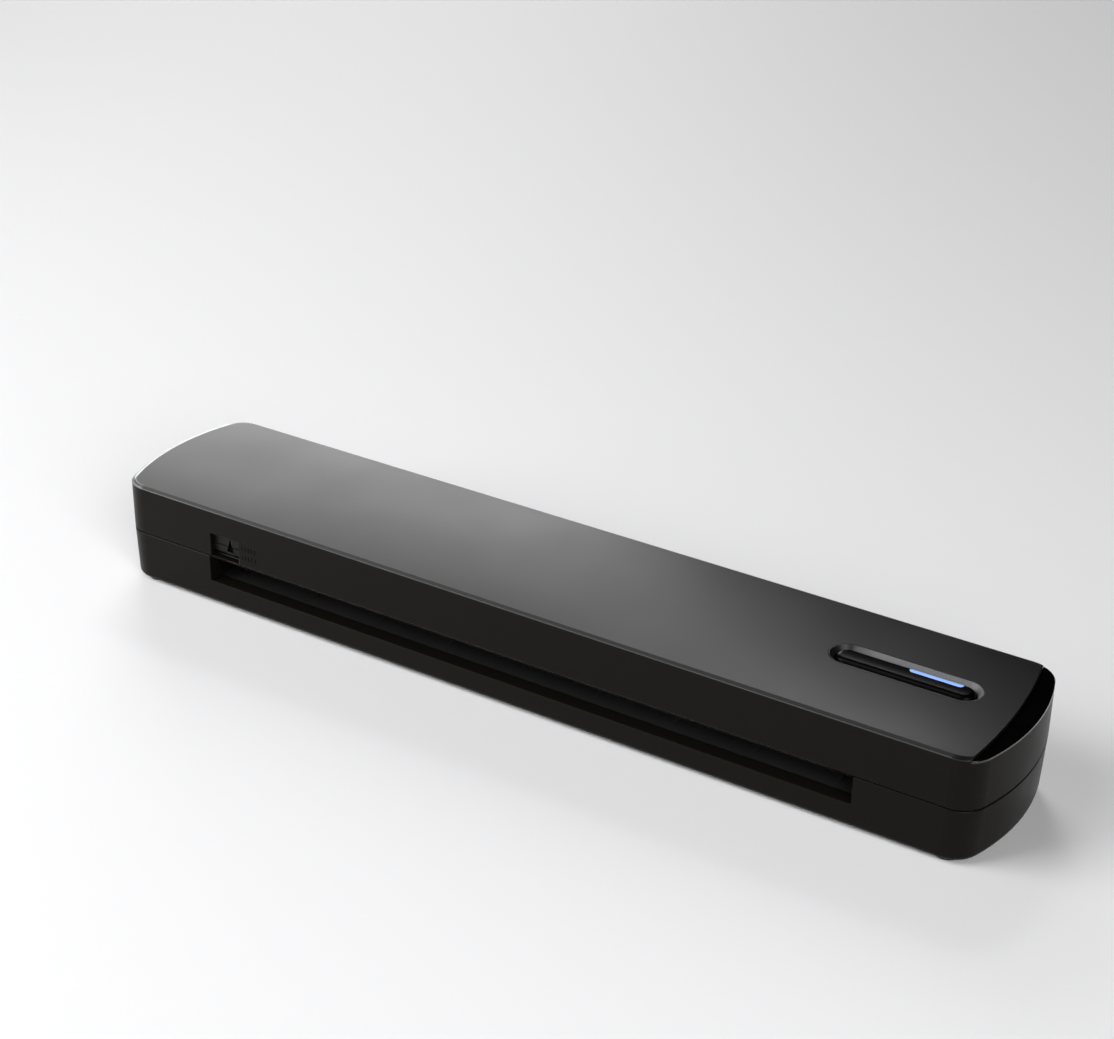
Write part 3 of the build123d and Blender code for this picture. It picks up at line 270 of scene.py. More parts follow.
class Effects:
    """Builds each shared effect once and places it in materials."""

    MIDDLE_HALF = (0.3, 0.7)         # the part of a noise's values that is spread out
    EDGE_COSINES = (0.995, 0.85)     # of the angle that an edge turns the normal by: its start, all of it

    def __init__(self) -> None:
        """Builds all the groups."""
        self.groups = {
            Effect.GRAIN: self.grain(),
            Effect.BRUSHED: self.brushed(),
            Effect.SOFT_EDGE: self.soft_edge(),
            Effect.TICKS: self.ticks(),
        }

    @staticmethod
    def start(effect: Effect, inputs: dict[str, float], outputs: tuple[str, ...]) -> tuple:
        """Makes an empty group with its sockets, of which the first is the Vector input.

        Args:
            effect: which effect the group is for.
            inputs: the number inputs with their defaults.
            outputs: the outputs; one called Normal is a vector.

        Returns:
            The group, its Tree, the sockets that come in and the sockets that go out.
        """
        group = bpy.data.node_groups.new(effect.value, "ShaderNodeTree")
        sockets = group.interface
        sockets.new_socket("Vector", in_out="INPUT", socket_type="NodeSocketVector")
        for label, value in inputs.items():
            socket = sockets.new_socket(label, in_out="INPUT", socket_type="NodeSocketFloat")
            socket.default_value = value
        for label in outputs:
            kind = "NodeSocketVector" if label == "Normal" else "NodeSocketFloat"
            sockets.new_socket(label, in_out="OUTPUT", socket_type=kind)
        tree = Tree(group)
        return group, tree, tree.add("NodeGroupInput").outputs, tree.add("NodeGroupOutput").inputs

    def grain(self) -> bpy.types.NodeTree:
        """Fine spark-eroded grain of moulded plastic, with a slow drift of its gloss.

        Returns:
            The node group.
        """
        group, tree, source, target = self.start(
            Effect.GRAIN, {"Grain": 1800.0, "Drift": 30.0}, ("Height", "Tone", "Gloss"))
        fine = tree.noise(source["Vector"], source["Grain"], 3.0)
        coarse = tree.noise(source["Vector"], tree.maths("MULTIPLY", source["Grain"], 0.37))
        drift = tree.noise(source["Vector"], source["Drift"], 3.0)
        height = tree.maths("ADD", tree.maths("MULTIPLY", fine, 0.6), tree.maths("MULTIPLY", coarse, 0.4))
        tree.wire(height, target["Height"])
        tree.wire(tree.spread(fine, *self.MIDDLE_HALF, 0.0, 1.0), target["Tone"])
        tree.wire(tree.spread(drift, *self.MIDDLE_HALF, 0.0, 1.0), target["Gloss"])
        return group

    def brushed(self) -> bpy.types.NodeTree:
        """Fine lines along X, as rolled, ground or turned metal has.

        Returns:
            The node group.
        """
        group, tree, source, target = self.start(
            Effect.BRUSHED, {"Along": 25.0, "Across": 3500.0}, ("Height", "Tone"))
        stretch = tree.join(source["Along"], source["Across"], source["Across"])
        lines = tree.noise(tree.vector("MULTIPLY", source["Vector"], stretch), 1.0)
        tree.wire(lines, target["Height"])
        tree.wire(tree.spread(lines, *self.MIDDLE_HALF, 0.0, 1.0), target["Tone"])
        return group

    def soft_edge(self) -> bpy.types.NodeTree:
        """Small round on every sharp edge, a mask of where it is, and a slight crown across Y.

        Returns:
            The node group.
        """
        group, tree, source, target = self.start(
            Effect.SOFT_EDGE, {"Radius": 0.0003, "Crown": 0.0, "Middle": 0.0}, ("Normal", "Edge"))
        bevel = tree.add("ShaderNodeBevel", samples=6)
        tree.wire(source["Radius"], bevel.inputs["Radius"])
        flat = tree.add("ShaderNodeNewGeometry").outputs["True Normal"]
        cosine = tree.vector("DOT_PRODUCT", bevel.outputs["Normal"], flat)
        across = tree.maths("SUBTRACT", tree.split(source["Vector"])["Y"], source["Middle"])
        lean = tree.add("ShaderNodeVectorTransform", vector_type="VECTOR", convert_from="OBJECT",
                        convert_to="WORLD")
        tree.wire(tree.join(0.0, tree.maths("MULTIPLY", across, source["Crown"]), 0.0), lean.inputs[0])
        normal = tree.vector("ADD", bevel.outputs["Normal"], lean.outputs[0])
        tree.wire(tree.vector("NORMALIZE", normal), target["Normal"])
        tree.wire(tree.spread(cosine, *self.EDGE_COSINES, 0.0, 1.0), target["Edge"])
        return group

    def ticks(self) -> bpy.types.NodeTree:
        """A row of short upright ticks on a face that looks along Y.

        Returns:
            The node group.
        """
        inputs = {"Start": 0.0, "Pitch": 0.001, "Count": 5.0, "Width": 0.3, "Low": 0.0, "High": 0.001}
        group, tree, source, target = self.start(Effect.TICKS, inputs, ("Mask",))
        place = tree.split(source["Vector"])
        step = tree.maths("DIVIDE", tree.maths("SUBTRACT", place["X"], source["Start"]), source["Pitch"])
        tick = tree.maths("LESS_THAN", tree.maths("FRACT", step), source["Width"])
        row = tree.maths("MULTIPLY", tree.between(step, 0.0, source["Count"]),
                         tree.between(place["Z"], source["Low"], source["High"]))
        tree.wire(tree.maths("MULTIPLY", tick, row), target["Mask"])
        return group

    def place(self, tree: Tree, effect: Effect, vector: object = None, **values: float) -> bpy.types.Node:
        """Puts an effect into a material.

        Args:
            tree: the material's tree.
            effect: which effect.
            vector: socket of the coordinates, where the effect's outputs in use need them.
            values: the effect's own values, by socket name.

        Returns:
            The group node.
        """
        node = tree.add("ShaderNodeGroup", node_tree=self.groups[effect])
        if vector is not None:
            tree.wire(vector, node.inputs["Vector"])
        for name, value in values.items():
            tree.wire(value, node.inputs[name])
        return node


effects = Effects()


# ------------------------------------------------------------------- finishes
@dataclass(frozen=True)
class Finish:
    """What all finishes share: a name, a colour and how the surface meets light.

    The record's slot is the finish's name, unless slot names another one. Slot is not used here.
    """

    name: str
    colour: Colour
    roughness: float = 0.4
    slot: str = ""

    def material(self) -> bpy.types.Material:
        """The material of this finish, built the first time it is asked for.

        Returns:
            The material.
        """
        title = f"{self.name}_surface"
        found = bpy.data.materials.get(title)
        if found is None:
            found = bpy.data.materials.new(title)
            found.use_nodes = True
            found.diffuse_color = rgba(self.colour)
            shader = found.node_tree.nodes["Principled BSDF"]
            shader.inputs["Base Color"].default_value = rgba(self.colour)
            shader.inputs["Roughness"].default_value = self.roughness
            self.fill(Tree(found.node_tree), shader)
        return found

    def fill(self, tree: Tree, shader: bpy.types.Node) -> None:
        """Adds the finish's own nodes to the material's tree, round its Principled BSDF."""

    def toned(self, tree: Tree, share: object, low: float, high: float) -> bpy.types.NodeSocket:
        """The finish's colour, from darker to lighter.

        Args:
            tree: the material's tree.
            share: socket of what makes it lighter.
            low: gain of the colour at share 0.
            high: gain of the colour at share 1.

        Returns:
            The socket of the colour.
        """
        return tree.blend(share, rgba(self.colour, low), rgba(self.colour, high))

    @staticmethod
    def coordinates(tree: Tree) -> bpy.types.NodeSocket:
        """The piece's own coordinates, in metres."""
        return tree.add("ShaderNodeTexCoord").outputs["Object"]

    @staticmethod
    def bump(tree: Tree, shader: bpy.types.Node, height: object, depth_mm: float, normal: object) -> None:
        """Puts a fine relief on the surface.

        Args:
            tree: the material's tree.
            shader: its Principled BSDF.
            height: socket of the relief.
            depth_mm: how deep the relief is.
            normal: socket of the normal under the relief.
        """
        node = tree.add("ShaderNodeBump")
        node.inputs["Distance"].default_value = depth_mm * MM
        tree.wire(height, node.inputs["Height"])
        tree.wire(normal, node.inputs["Normal"])
        tree.wire(node.outputs["Normal"], shader.inputs["Normal"])


@dataclass(frozen=True)
class Moulded(Finish):
    """Injection-moulded plastic with a fine grain, and a painted highlight that makes its edges lighter."""

    specular: float = 0.5
    grain: float = 1800.0
    depth_mm: float = 0.012
    edge_mm: float = 0.3
    # how much lighter the painted highlight makes the colour on the edges
    edge_highlight_gain: float = 1.6
    edge_gloss: float = 0.0
    coat_roughness: float = 0.12
    drift: float = 0.03
    crown: float = 0.0
    crown_mid_mm: float = 0.0

    def fill(self, tree: Tree, shader: bpy.types.Node) -> None:
        """Grain in the normal, drift in the gloss, and eased edges with a painted highlight.

        Args:
            tree: the material's tree.
            shader: its Principled BSDF.
        """
        shader.inputs["Specular IOR Level"].default_value = self.specular
        place = self.coordinates(tree)
        grain = effects.place(tree, Effect.GRAIN, place, Grain=self.grain)
        edge = effects.place(tree, Effect.SOFT_EDGE, place, Radius=self.edge_mm * MM, Crown=self.crown,
                             Middle=self.crown_mid_mm * MM)
        rim = tree.maths("MULTIPLY", edge.outputs["Edge"], self.highlight_and_gloss_part(tree, place))
        toned = self.toned(tree, grain.outputs["Tone"], 0.9, 1.1)
        # painted highlight: the colour is made lighter on the edges
        tree.wire(tree.blend(rim, toned, rgba(self.colour, self.edge_highlight_gain)), shader.inputs["Base Color"])
        rough = tree.spread(grain.outputs["Gloss"], 0.0, 1.0, self.roughness - self.drift,
                            self.roughness + self.drift)
        tree.wire(rough, shader.inputs["Roughness"])
        if self.edge_gloss:
            tree.wire(tree.maths("MULTIPLY", rim, self.edge_gloss), shader.inputs["Coat Weight"])
            shader.inputs["Coat Roughness"].default_value = self.coat_roughness
        self.bump(tree, shader, grain.outputs["Height"], self.depth_mm, edge.outputs["Normal"])

    def highlight_and_gloss_part(self, tree: Tree, place: object) -> object:
        """Where the edges get their painted highlight and their gloss: 1 there, here all over."""
        return 1.0


@dataclass(frozen=True)
class Inlaid(Moulded):
    """Inlaid plate with a painted highlight along its bowed left end and round the corner, where its edge is
    also glossier.
    """

    highlight_colour: Colour = (0.24, 0.235, 0.23)
    bulge_mm: float = 6.2
    line_mm: Pair = (1.0, 1.8)
    corner_mm: float = 1.6
    fade_mm: Pair = (-145.0, -142.0)

    def fill(self, tree: Tree, shader: bpy.types.Node) -> None:
        """A painted highlight line inside the bowed end's arc and round its corner, over the moulded finish.

        Args:
            tree: the material's tree.
            shader: its Principled BSDF.
        """
        super().fill(tree, shader)
        axes = tree.split(self.coordinates(tree))
        half, bulge = -CAD_LOW[1], self.bulge_mm * MM
        radius = (half * half + bulge * bulge) / (2 * bulge)
        across = tree.maths("SUBTRACT", axes["X"], CAD_LOW[0] + radius)
        squares = tree.maths("ADD", tree.maths("MULTIPLY", across, across),
                             tree.maths("MULTIPLY", axes["Y"], axes["Y"]))
        near, far = self.line_mm
        line = tree.between(tree.maths("SQRT", squares), radius - far * MM, radius - near * MM)
        corner = effects.place(tree, Effect.SOFT_EDGE, Radius=self.corner_mm * MM).outputs["Edge"]
        left = tree.spread(axes["X"], self.fade_mm[0] * MM, self.fade_mm[1] * MM, 1.0, 0.0)
        edge = tree.maths("MULTIPLY", tree.maths("MAXIMUM", line, corner), left)
        # painted highlight: a light line along the bowed left end and round its corner
        tree.repaint(shader, edge, rgba(self.highlight_colour))
        coat = shader.inputs["Coat Weight"]
        tree.wire(tree.maths("MAXIMUM", coat.links[0].from_socket, edge), coat)


@dataclass(frozen=True)
class Sunken(Moulded):
    """Moulded plastic that is black in its sunk marks, a little behind its front face."""

    node: str = "paper_guide_slider"
    depths_mm: Pair = (0.15, 0.8)
    black: float = 0.02

    def fill(self, tree: Tree, shader: bpy.types.Node) -> None:
        """Black a little behind the front face, over the moulded finish.

        Args:
            tree: the material's tree.
            shader: its Principled BSDF.
        """
        super().fill(tree, shader)
        front = min(span.low.y for span in solids_of(self.node))
        near, far = (front + depth * MM for depth in self.depths_mm)
        sunk = tree.between(tree.split(self.coordinates(tree))["Y"], near, far)
        tree.repaint(shader, sunk, rgba(self.colour, self.black))
        tree.wire(sunk, shader.inputs["Metallic"])


@dataclass(frozen=True)
class Rim(Moulded):
    """Sloped rim with painted shade: its flat lip is painted as dark as the plate, and its left end too."""

    shade: float = 0.05
    shade_mm: Pair = (95.0, 103.0)
    flat_above: float = 0.9

    def fill(self, tree: Tree, shader: bpy.types.Node) -> None:
        """Paints shade on the lip and the left end of the moulded finish.

        Args:
            tree: the material's tree.
            shader: its Principled BSDF.
        """
        super().fill(tree, shader)
        along = tree.split(self.coordinates(tree))["X"]
        end = tree.spread(along, self.shade_mm[0] * MM, self.shade_mm[1] * MM, 1.0, 0.0)
        facing = tree.split(tree.add("ShaderNodeTexCoord").outputs["Normal"])["Z"]
        flat = tree.maths("GREATER_THAN", facing, self.flat_above)
        # painted shade: dark where the face looks up, and towards the left end
        tree.repaint(shader, tree.maths("MAXIMUM", end, flat), rgba(self.colour, self.shade))


@dataclass(frozen=True)
class Marked(Moulded):
    """Moulded plastic with two rows of small sunken ticks beside the slider's window."""

    ink: Colour = (0.0012, 0.0012, 0.0012)
    sunk_mm: float = 0.05
    rim_from_mm: float = 31.0
    lip_to_mm: float = 20.6
    lip_half_mm: float = 107.5
    start_mm: float = -101.3
    pitch_mm: float = 1.3
    tick: float = 0.42
    count: float = 5.0
    rows_mm: tuple[Pair, ...] = ((20.9, 22.5), (23.9, 25.7))
    front_mm: float = 0.2

    def highlight_and_gloss_part(self, tree: Tree, place: object) -> object:
        """Where the edges get their painted highlight and gloss: the rim at the top and the lip over the front
        slot, but not the seam.

        Args:
            tree: the material's tree.
            place: socket of the coordinates.

        Returns:
            The mask's socket.
        """
        axes = tree.split(place)
        top = tree.maths("GREATER_THAN", axes["Z"], self.rim_from_mm * MM)
        low = tree.maths("LESS_THAN", axes["Z"], self.lip_to_mm * MM)
        inner = tree.maths("LESS_THAN", tree.maths("ABSOLUTE", axes["X"]), self.lip_half_mm * MM)
        return tree.maths("MAXIMUM", top, tree.maths("MULTIPLY", low, inner))

    def fill(self, tree: Tree, shader: bpy.types.Node) -> None:
        """Ticks over the moulded finish.

        Args:
            tree: the material's tree.
            shader: its Principled BSDF.
        """
        super().fill(tree, shader)
        place = self.coordinates(tree)
        front = tree.maths("LESS_THAN", tree.split(place)["Y"], CAD_LOW[1] + self.front_mm * MM)
        marks = 0.0
        for low, high in self.rows_mm:
            row = effects.place(tree, Effect.TICKS, place, Start=self.start_mm * MM, Pitch=self.pitch_mm * MM,
                                Count=self.count, Width=self.tick, Low=low * MM, High=high * MM)
            marks = tree.maths("ADD", marks, tree.maths("MULTIPLY", row.outputs["Mask"], front))
        tree.repaint(shader, marks, rgba(self.ink))
        tree.wire(marks, shader.inputs["Metallic"])
        grain = shader.inputs["Normal"].links[0].from_socket
        self.bump(tree, shader, tree.maths("SUBTRACT", 1.0, marks), self.sunk_mm, grain)


@dataclass(frozen=True)
class Ceramic(Finish):
    """Ground ceramic strip with fine gold leads and the brown glaze of the heater line."""

    glaze: Colour = (0.10, 0.035, 0.012)
    gold: Colour = (0.55, 0.36, 0.10)
    line_mm: float = 6.0
    glaze_mm: Pair = (0.6, 0.69)
    leads_mm: Pair = (2.2, 2.4)
    leads_share: float = 0.8
    leads_per_metre: float = 1600.0
    edge_mm: float = 0.1

    def fill(self, tree: Tree, shader: bpy.types.Node) -> None:
        """Leads across the strip and the glaze along it.

        Args:
            tree: the material's tree.
            shader: its Principled BSDF.
        """
        place = self.coordinates(tree)
        axes = tree.split(place)
        step = tree.maths("FRACT", tree.maths("MULTIPLY", axes["X"], self.leads_per_metre))
        away = tree.maths("ABSOLUTE", tree.maths("SUBTRACT", axes["Y"], self.line_mm * MM))
        near = tree.spread(away, self.leads_mm[0] * MM, self.leads_mm[1] * MM, self.leads_share, 0.0)
        glaze = tree.spread(away, self.glaze_mm[0] * MM, self.glaze_mm[1] * MM, 1.0, 0.0)
        cloud = tree.noise(place, 180.0, 3.0)
        lead = tree.maths("MULTIPLY", tree.maths("LESS_THAN", step, 0.5), near)
        leads = tree.blend(lead, self.toned(tree, cloud, 0.92, 1.06), rgba(self.gold))
        tree.wire(tree.blend(glaze, leads, rgba(self.glaze)), shader.inputs["Base Color"])
        edge = effects.place(tree, Effect.SOFT_EDGE, Radius=self.edge_mm * MM)
        self.bump(tree, shader, cloud, 0.01, edge.outputs["Normal"])


@dataclass(frozen=True)
class Polished(Finish):
    """High-gloss plastic with a faint unevenness under a clear coat."""

    coat: float = 0.6
    coat_roughness: float = 0.03
    smear: float = 0.05
    wave_mm: float = 0.01
    edge_mm: float = 0.25

    def fill(self, tree: Tree, shader: bpy.types.Node) -> None:
        """A clear coat, a faint wave and eased edges.

        Args:
            tree: the material's tree.
            shader: its Principled BSDF.
        """
        shader.inputs["Coat Weight"].default_value = self.coat
        shader.inputs["Coat Roughness"].default_value = self.coat_roughness
        place = self.coordinates(tree)
        wave = tree.noise(place, 60.0)
        smear = tree.noise(place, 240.0, 4.0)
        edge = effects.place(tree, Effect.SOFT_EDGE, Radius=self.edge_mm * MM)
        rough = tree.spread(smear, 0.4, 0.8, self.roughness, self.roughness + self.smear)
        tree.wire(rough, shader.inputs["Roughness"])
        self.bump(tree, shader, wave, self.wave_mm, edge.outputs["Normal"])


@dataclass(frozen=True)
class Metal(Finish):
    """Rolled, ground or turned metal with lines along the length."""

    depth_mm: float = 0.01
    across: float = 3500.0
    along: float = 25.0
    edge_mm: float = 0.15

    def fill(self, tree: Tree, shader: bpy.types.Node) -> None:
        """Lines in colour, gloss and normal.

        Args:
            tree: the material's tree.
            shader: its Principled BSDF.
        """
        shader.inputs["Metallic"].default_value = 1.0
        lines = effects.place(tree, Effect.BRUSHED, self.coordinates(tree), Along=self.along,
                              Across=self.across)
        edge = effects.place(tree, Effect.SOFT_EDGE, Radius=self.edge_mm * MM)
        tone = lines.outputs["Tone"]
        tree.wire(self.toned(tree, tone, 0.85, 1.08), shader.inputs["Base Color"])
        rough = tree.spread(tone, 0.0, 1.0, self.roughness - 0.05, self.roughness + 0.08)
        tree.wire(rough, shader.inputs["Roughness"])
        self.bump(tree, shader, lines.outputs["Height"], self.depth_mm, edge.outputs["Normal"])


@dataclass(frozen=True)
class Board(Finish):
    """Circuit board: lacquered laminate with faint copper tracks under the lacquer."""

    copper: Colour = (0.05, 0.26, 0.12)
    tracks_per_metre: float = 420.0
    wander: float = 0.55
    track: Pair = (0.07, 0.1)
    track_mm: float = 0.03
    lacquer: float = 0.4
    edge_mm: float = 0.1

    def fill(self, tree: Tree, shader: bpy.types.Node) -> None:
        """Tracks along the borders of a cell pattern.

        Args:
            tree: the material's tree.
            shader: its Principled BSDF.
        """
        cells = tree.add("ShaderNodeTexVoronoi", feature="DISTANCE_TO_EDGE", distance="EUCLIDEAN")
        tree.wire(self.coordinates(tree), cells.inputs["Vector"])
        cells.inputs["Scale"].default_value = self.tracks_per_metre
        cells.inputs["Randomness"].default_value = self.wander
        track = tree.spread(cells.outputs["Distance"], *self.track, 1.0, 0.0)
        tree.wire(tree.blend(track, rgba(self.colour), rgba(self.copper)), shader.inputs["Base Color"])
        shader.inputs["Coat Weight"].default_value = self.lacquer
        edge = effects.place(tree, Effect.SOFT_EDGE, Radius=self.edge_mm * MM)
        self.bump(tree, shader, track, self.track_mm, edge.outputs["Normal"])


@dataclass(frozen=True)
class Glowing(Finish):
    """Lit light bar: milky plastic that shines, a little uneven along its length."""

    strength: float = 0.55

    def fill(self, tree: Tree, shader: bpy.types.Node) -> None:
        """Light from inside, uneven as from a few small lamps.

        Args:
            tree: the material's tree.
            shader: its Principled BSDF.
        """
        uneven = tree.spread(tree.noise(self.coordinates(tree), 300.0, 1.0), 0.35, 0.65, 0.0, 1.0)
        tree.wire(self.toned(tree, uneven, 0.85, 1.1), shader.inputs["Emission Color"])
        shader.inputs["Emission Strength"].default_value = self.strength


class Looks:
    """The finishes of the printer, one for each of the record's slots and a few more."""

    CASE = Moulded("case_black", (0.0052, 0.0043, 0.0030), 0.34, specular=0.085, grain=2200.0,
                   depth_mm=0.005)
    # the upper casing's top rim and slot lip get a strong painted highlight on their edges
    MARKED = Marked("case_black_marked", (0.0052, 0.0043, 0.0030), 0.34, specular=0.085, grain=2200.0,
                    depth_mm=0.005, edge_mm=0.45, edge_highlight_gain=7.0, edge_gloss=1.0)
    # the plate's edges get a faint painted highlight
    PLATE = Inlaid("plate_grey", (0.0030, 0.0030, 0.0031), 0.314, specular=0.209, grain=2600.0, depth_mm=0.003,
                   edge_highlight_gain=1.3, edge_gloss=1.0, crown=1.55, crown_mid_mm=12.0)
    TRIM = Polished("trim_gloss", (0.0010, 0.0010, 0.0011), 0.06)
    BUTTON = Moulded("button_gloss", (0.0010, 0.0010, 0.0011), 0.26, specular=0.05, grain=3000.0,
                     depth_mm=0.002, edge_highlight_gain=1.0, crown=42.0, crown_mid_mm=2.9)
    BEZEL = Rim("bezel_grey", (0.105, 0.105, 0.11), 0.42, edge_highlight_gain=1.0)
    LIGHT = Glowing("light_blue", (0.25, 0.42, 0.91), 0.3, strength=0.36)
    FOOT = Moulded("foot_rubber", (0.015, 0.015, 0.015), 0.75, specular=0.3, grain=1200.0, depth_mm=0.03)
    ROLLER = Moulded("roller_rubber", (0.025, 0.025, 0.027), 0.62, specular=0.3, grain=1500.0, depth_mm=0.03)
    GUIDE = Moulded("guide_black", (0.014, 0.014, 0.015), 0.42)
    SLIDER = Sunken("slider_black", (0.0075, 0.0072, 0.0070), 0.40, specular=0.16, edge_highlight_gain=1.0)
    SHEET = Metal("sheet_steel", (0.56, 0.57, 0.58), 0.32)
    GROUND = Metal("ground_steel", (0.62, 0.62, 0.62), 0.18, across=6000.0)
    CLIP = Metal("clip_steel", (0.12, 0.12, 0.13), 0.35)
    SPRING = Metal("spring_steel", (0.42, 0.42, 0.43), 0.28)
    SCREW = Metal("screw_steel", (0.36, 0.36, 0.37), 0.30)
    MAGNET = Metal("magnet_nickel", (0.62, 0.61, 0.58), 0.12, across=9000.0)
    SOCKET = Metal("socket_steel", (0.60, 0.60, 0.61), 0.25)
    CAN = Metal("motor_can", (0.50, 0.51, 0.52), 0.30)
    BUSH = Moulded("bush_white", (0.72, 0.71, 0.67), 0.45)
    GEAR = Moulded("gear_white", (0.75, 0.74, 0.70), 0.42)
    PINION = Metal("pinion_brass", (0.78, 0.60, 0.28), 0.25)
    BOARD = Board("board_green", (0.015, 0.12, 0.05), 0.30)
    CHIP = Moulded("chip_black", (0.018, 0.018, 0.02), 0.5)
    CELL = Metal("cell_foil", (0.52, 0.54, 0.57), 0.38, across=400.0, along=120.0, depth_mm=0.05)
    HEATSINK = Metal("heatsink_alu", (0.70, 0.71, 0.72), 0.35)
    CERAMIC = Ceramic("head_ceramic", (0.62, 0.60, 0.56), 0.22)
    RESIN = Polished("chip_resin", (0.010, 0.010, 0.011), 0.16, slot="chip_black")
    COPPER = Metal("coil_copper", (0.72, 0.33, 0.16), 0.28, slot="pinion_brass", across=5000.0, along=5000.0)
    TIN = Metal("tin_leads", (0.66, 0.66, 0.64), 0.24, slot="socket_steel", across=4000.0)
    IVORY = Moulded("plug_ivory", (0.66, 0.62, 0.52), 0.5, slot="gear_white")


# ----------------------------------------------------------------- mesh tools
@dataclass(frozen=True)
class Span:
    """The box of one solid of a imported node, in metres."""

    low: Vector
    high: Vector

    @property
    def middle(self) -> Vector:
        """Centre of the box."""
        return (self.low + self.high) / 2

    @property
    def size(self) -> Vector:
        """Lengths of the box's sides."""
        return self.high - self.low

    @property
    def foot(self) -> Vector:
        """Middle of the box's underside."""
        return Vector((self.middle.x, self.middle.y, self.low.z))


def solids_of(node: str) -> list[Span]:
    """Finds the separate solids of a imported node.

    Args:
        node: the node's name.

    Returns:
        One span for each solid, the lowest and smallest first.
    """
    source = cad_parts[node]
    shape = bmesh.new()
    shape.from_mesh(source.data)
    bmesh.ops.transform(shape, matrix=source.matrix_world, verts=shape.verts)
    bmesh.ops.remove_doubles(shape, verts=shape.verts, dist=1e-6)
    left = set(shape.verts)
    spans = []
    while left:
        reached = [left.pop()]
        for vert in reached:
            for edge in vert.link_edges:
                other = edge.other_vert(vert)
                if other in left:
                    left.remove(other)
                    reached.append(other)
        places = [vert.co for vert in reached]
        spans.append(Span(Vector(map(min, zip(*places))), Vector(map(max, zip(*places)))))
    shape.free()
    return sorted(spans, key=lambda span: (round(span.size.z, 5), round(span.size.x * span.size.y, 8),
                                           round(span.low.x, 5), round(span.low.y, 5)))


def closed_mesh(shape: bmesh.types.BMesh) -> bpy.types.Mesh:
    """Welds a shape, turns its faces outward and makes a mesh of it.

    Args:
        shape: the shape, which is used up.

    Returns:
        The mesh.
    """
    bmesh.ops.remove_doubles(shape, verts=shape.verts, dist=1e-7)
    bmesh.ops.recalc_face_normals(shape, faces=shape.faces)
    mesh = bpy.data.meshes.new("form")
    shape.to_mesh(mesh)
    shape.free()
    return mesh


def lathe(profile: list[Pair], steps: int = 36) -> bpy.types.Mesh:
    """Turned form about the Z axis.

    Args:
        profile: radius and height of each point of the outline, in millimetres.
        steps: facets round the axis.

    Returns:
        The mesh.
    """
    shape = bmesh.new()
    ring = [shape.verts.new((radius * MM, 0.0, height * MM)) for radius, height in profile]
    lines = [shape.edges.new(pair) for pair in zip(ring, ring[1:])]
    bmesh.ops.spin(shape, geom=ring + lines, cent=(0, 0, 0), axis=(0, 0, 1), angle=2 * math.pi, steps=steps)
    return closed_mesh(shape)


def brick(low: Vector, high: Vector, ease: float) -> bpy.types.Mesh:
    """Block with bevelled edges.

    Args:
        low: lowest corner, in metres.
        high: highest corner, in metres.
        ease: width of the bevel, in millimetres.

    Returns:
        The mesh.
    """
    shape = bmesh.new()
    stretched = Matrix.Translation((low + high) / 2) @ Matrix.Diagonal(high - low).to_4x4()
    bmesh.ops.create_cube(shape, size=1.0, matrix=stretched)
    bmesh.ops.bevel(shape, geom=shape.edges[:], offset=ease * MM, segments=2, affect="EDGES", profile=0.5)
    return closed_mesh(shape)


def carve(body: bpy.types.Mesh, tool: bpy.types.Mesh) -> bpy.types.Mesh:
    """Takes one form out of another.

    Args:
        body: what is carved.
        tool: what is taken away.

    Returns:
        A new mesh of what is left.
    """
    holders = [bpy.data.objects.new("carving", mesh) for mesh in (body, tool)]
    for holder in holders:
        bpy.context.scene.collection.objects.link(holder)
    cut = holders[0].modifiers.new("cut", "BOOLEAN")
    cut.object = holders[1]
    cut.operation = "DIFFERENCE"
    cut.solver = "EXACT"
    evaluated = holders[0].evaluated_get(bpy.context.evaluated_depsgraph_get())
    left = bpy.data.meshes.new_from_object(evaluated)
    for holder in holders:
        bpy.data.objects.remove(holder)
    return left


def carve_cross(body: bpy.types.Mesh, arm: Pair, heights: Pair, ease: float) -> bpy.types.Mesh:
    """Cuts an upright cross into a form that stands about the Z axis.

    Args:
        body: what is carved.
        arm: length and width of the cross's two bars, in millimetres.
        heights: floor and top of the cut, in millimetres.
        ease: width of the bevel on the bars, in millimetres.

    Returns:
        A new mesh of what is left.
    """
    for wide, thick in (arm, arm[::-1]):
        low = Vector((-wide / 2, -thick / 2, heights[0])) * MM
        high = Vector((wide / 2, thick / 2, heights[1])) * MM
        body = carve(body, brick(low, high, ease))
    return body


@dataclass(frozen=True)
class Copy:
    """One copy of a form: where it stands, whether it is upside down and how far it is turned."""

    mesh: bpy.types.Mesh
    place: Vector = Vector((0.0, 0.0, 0.0))
    flipped: bool = False
    turn: float = 0.0

    @property
    def matrix(self) -> Matrix:
        """Puts the form in its place."""
        turn = Matrix.Rotation(math.pi if self.flipped else 0.0, 4, "X") @ Matrix.Rotation(self.turn, 4, "Z")
        return Matrix.Translation(self.place) @ turn


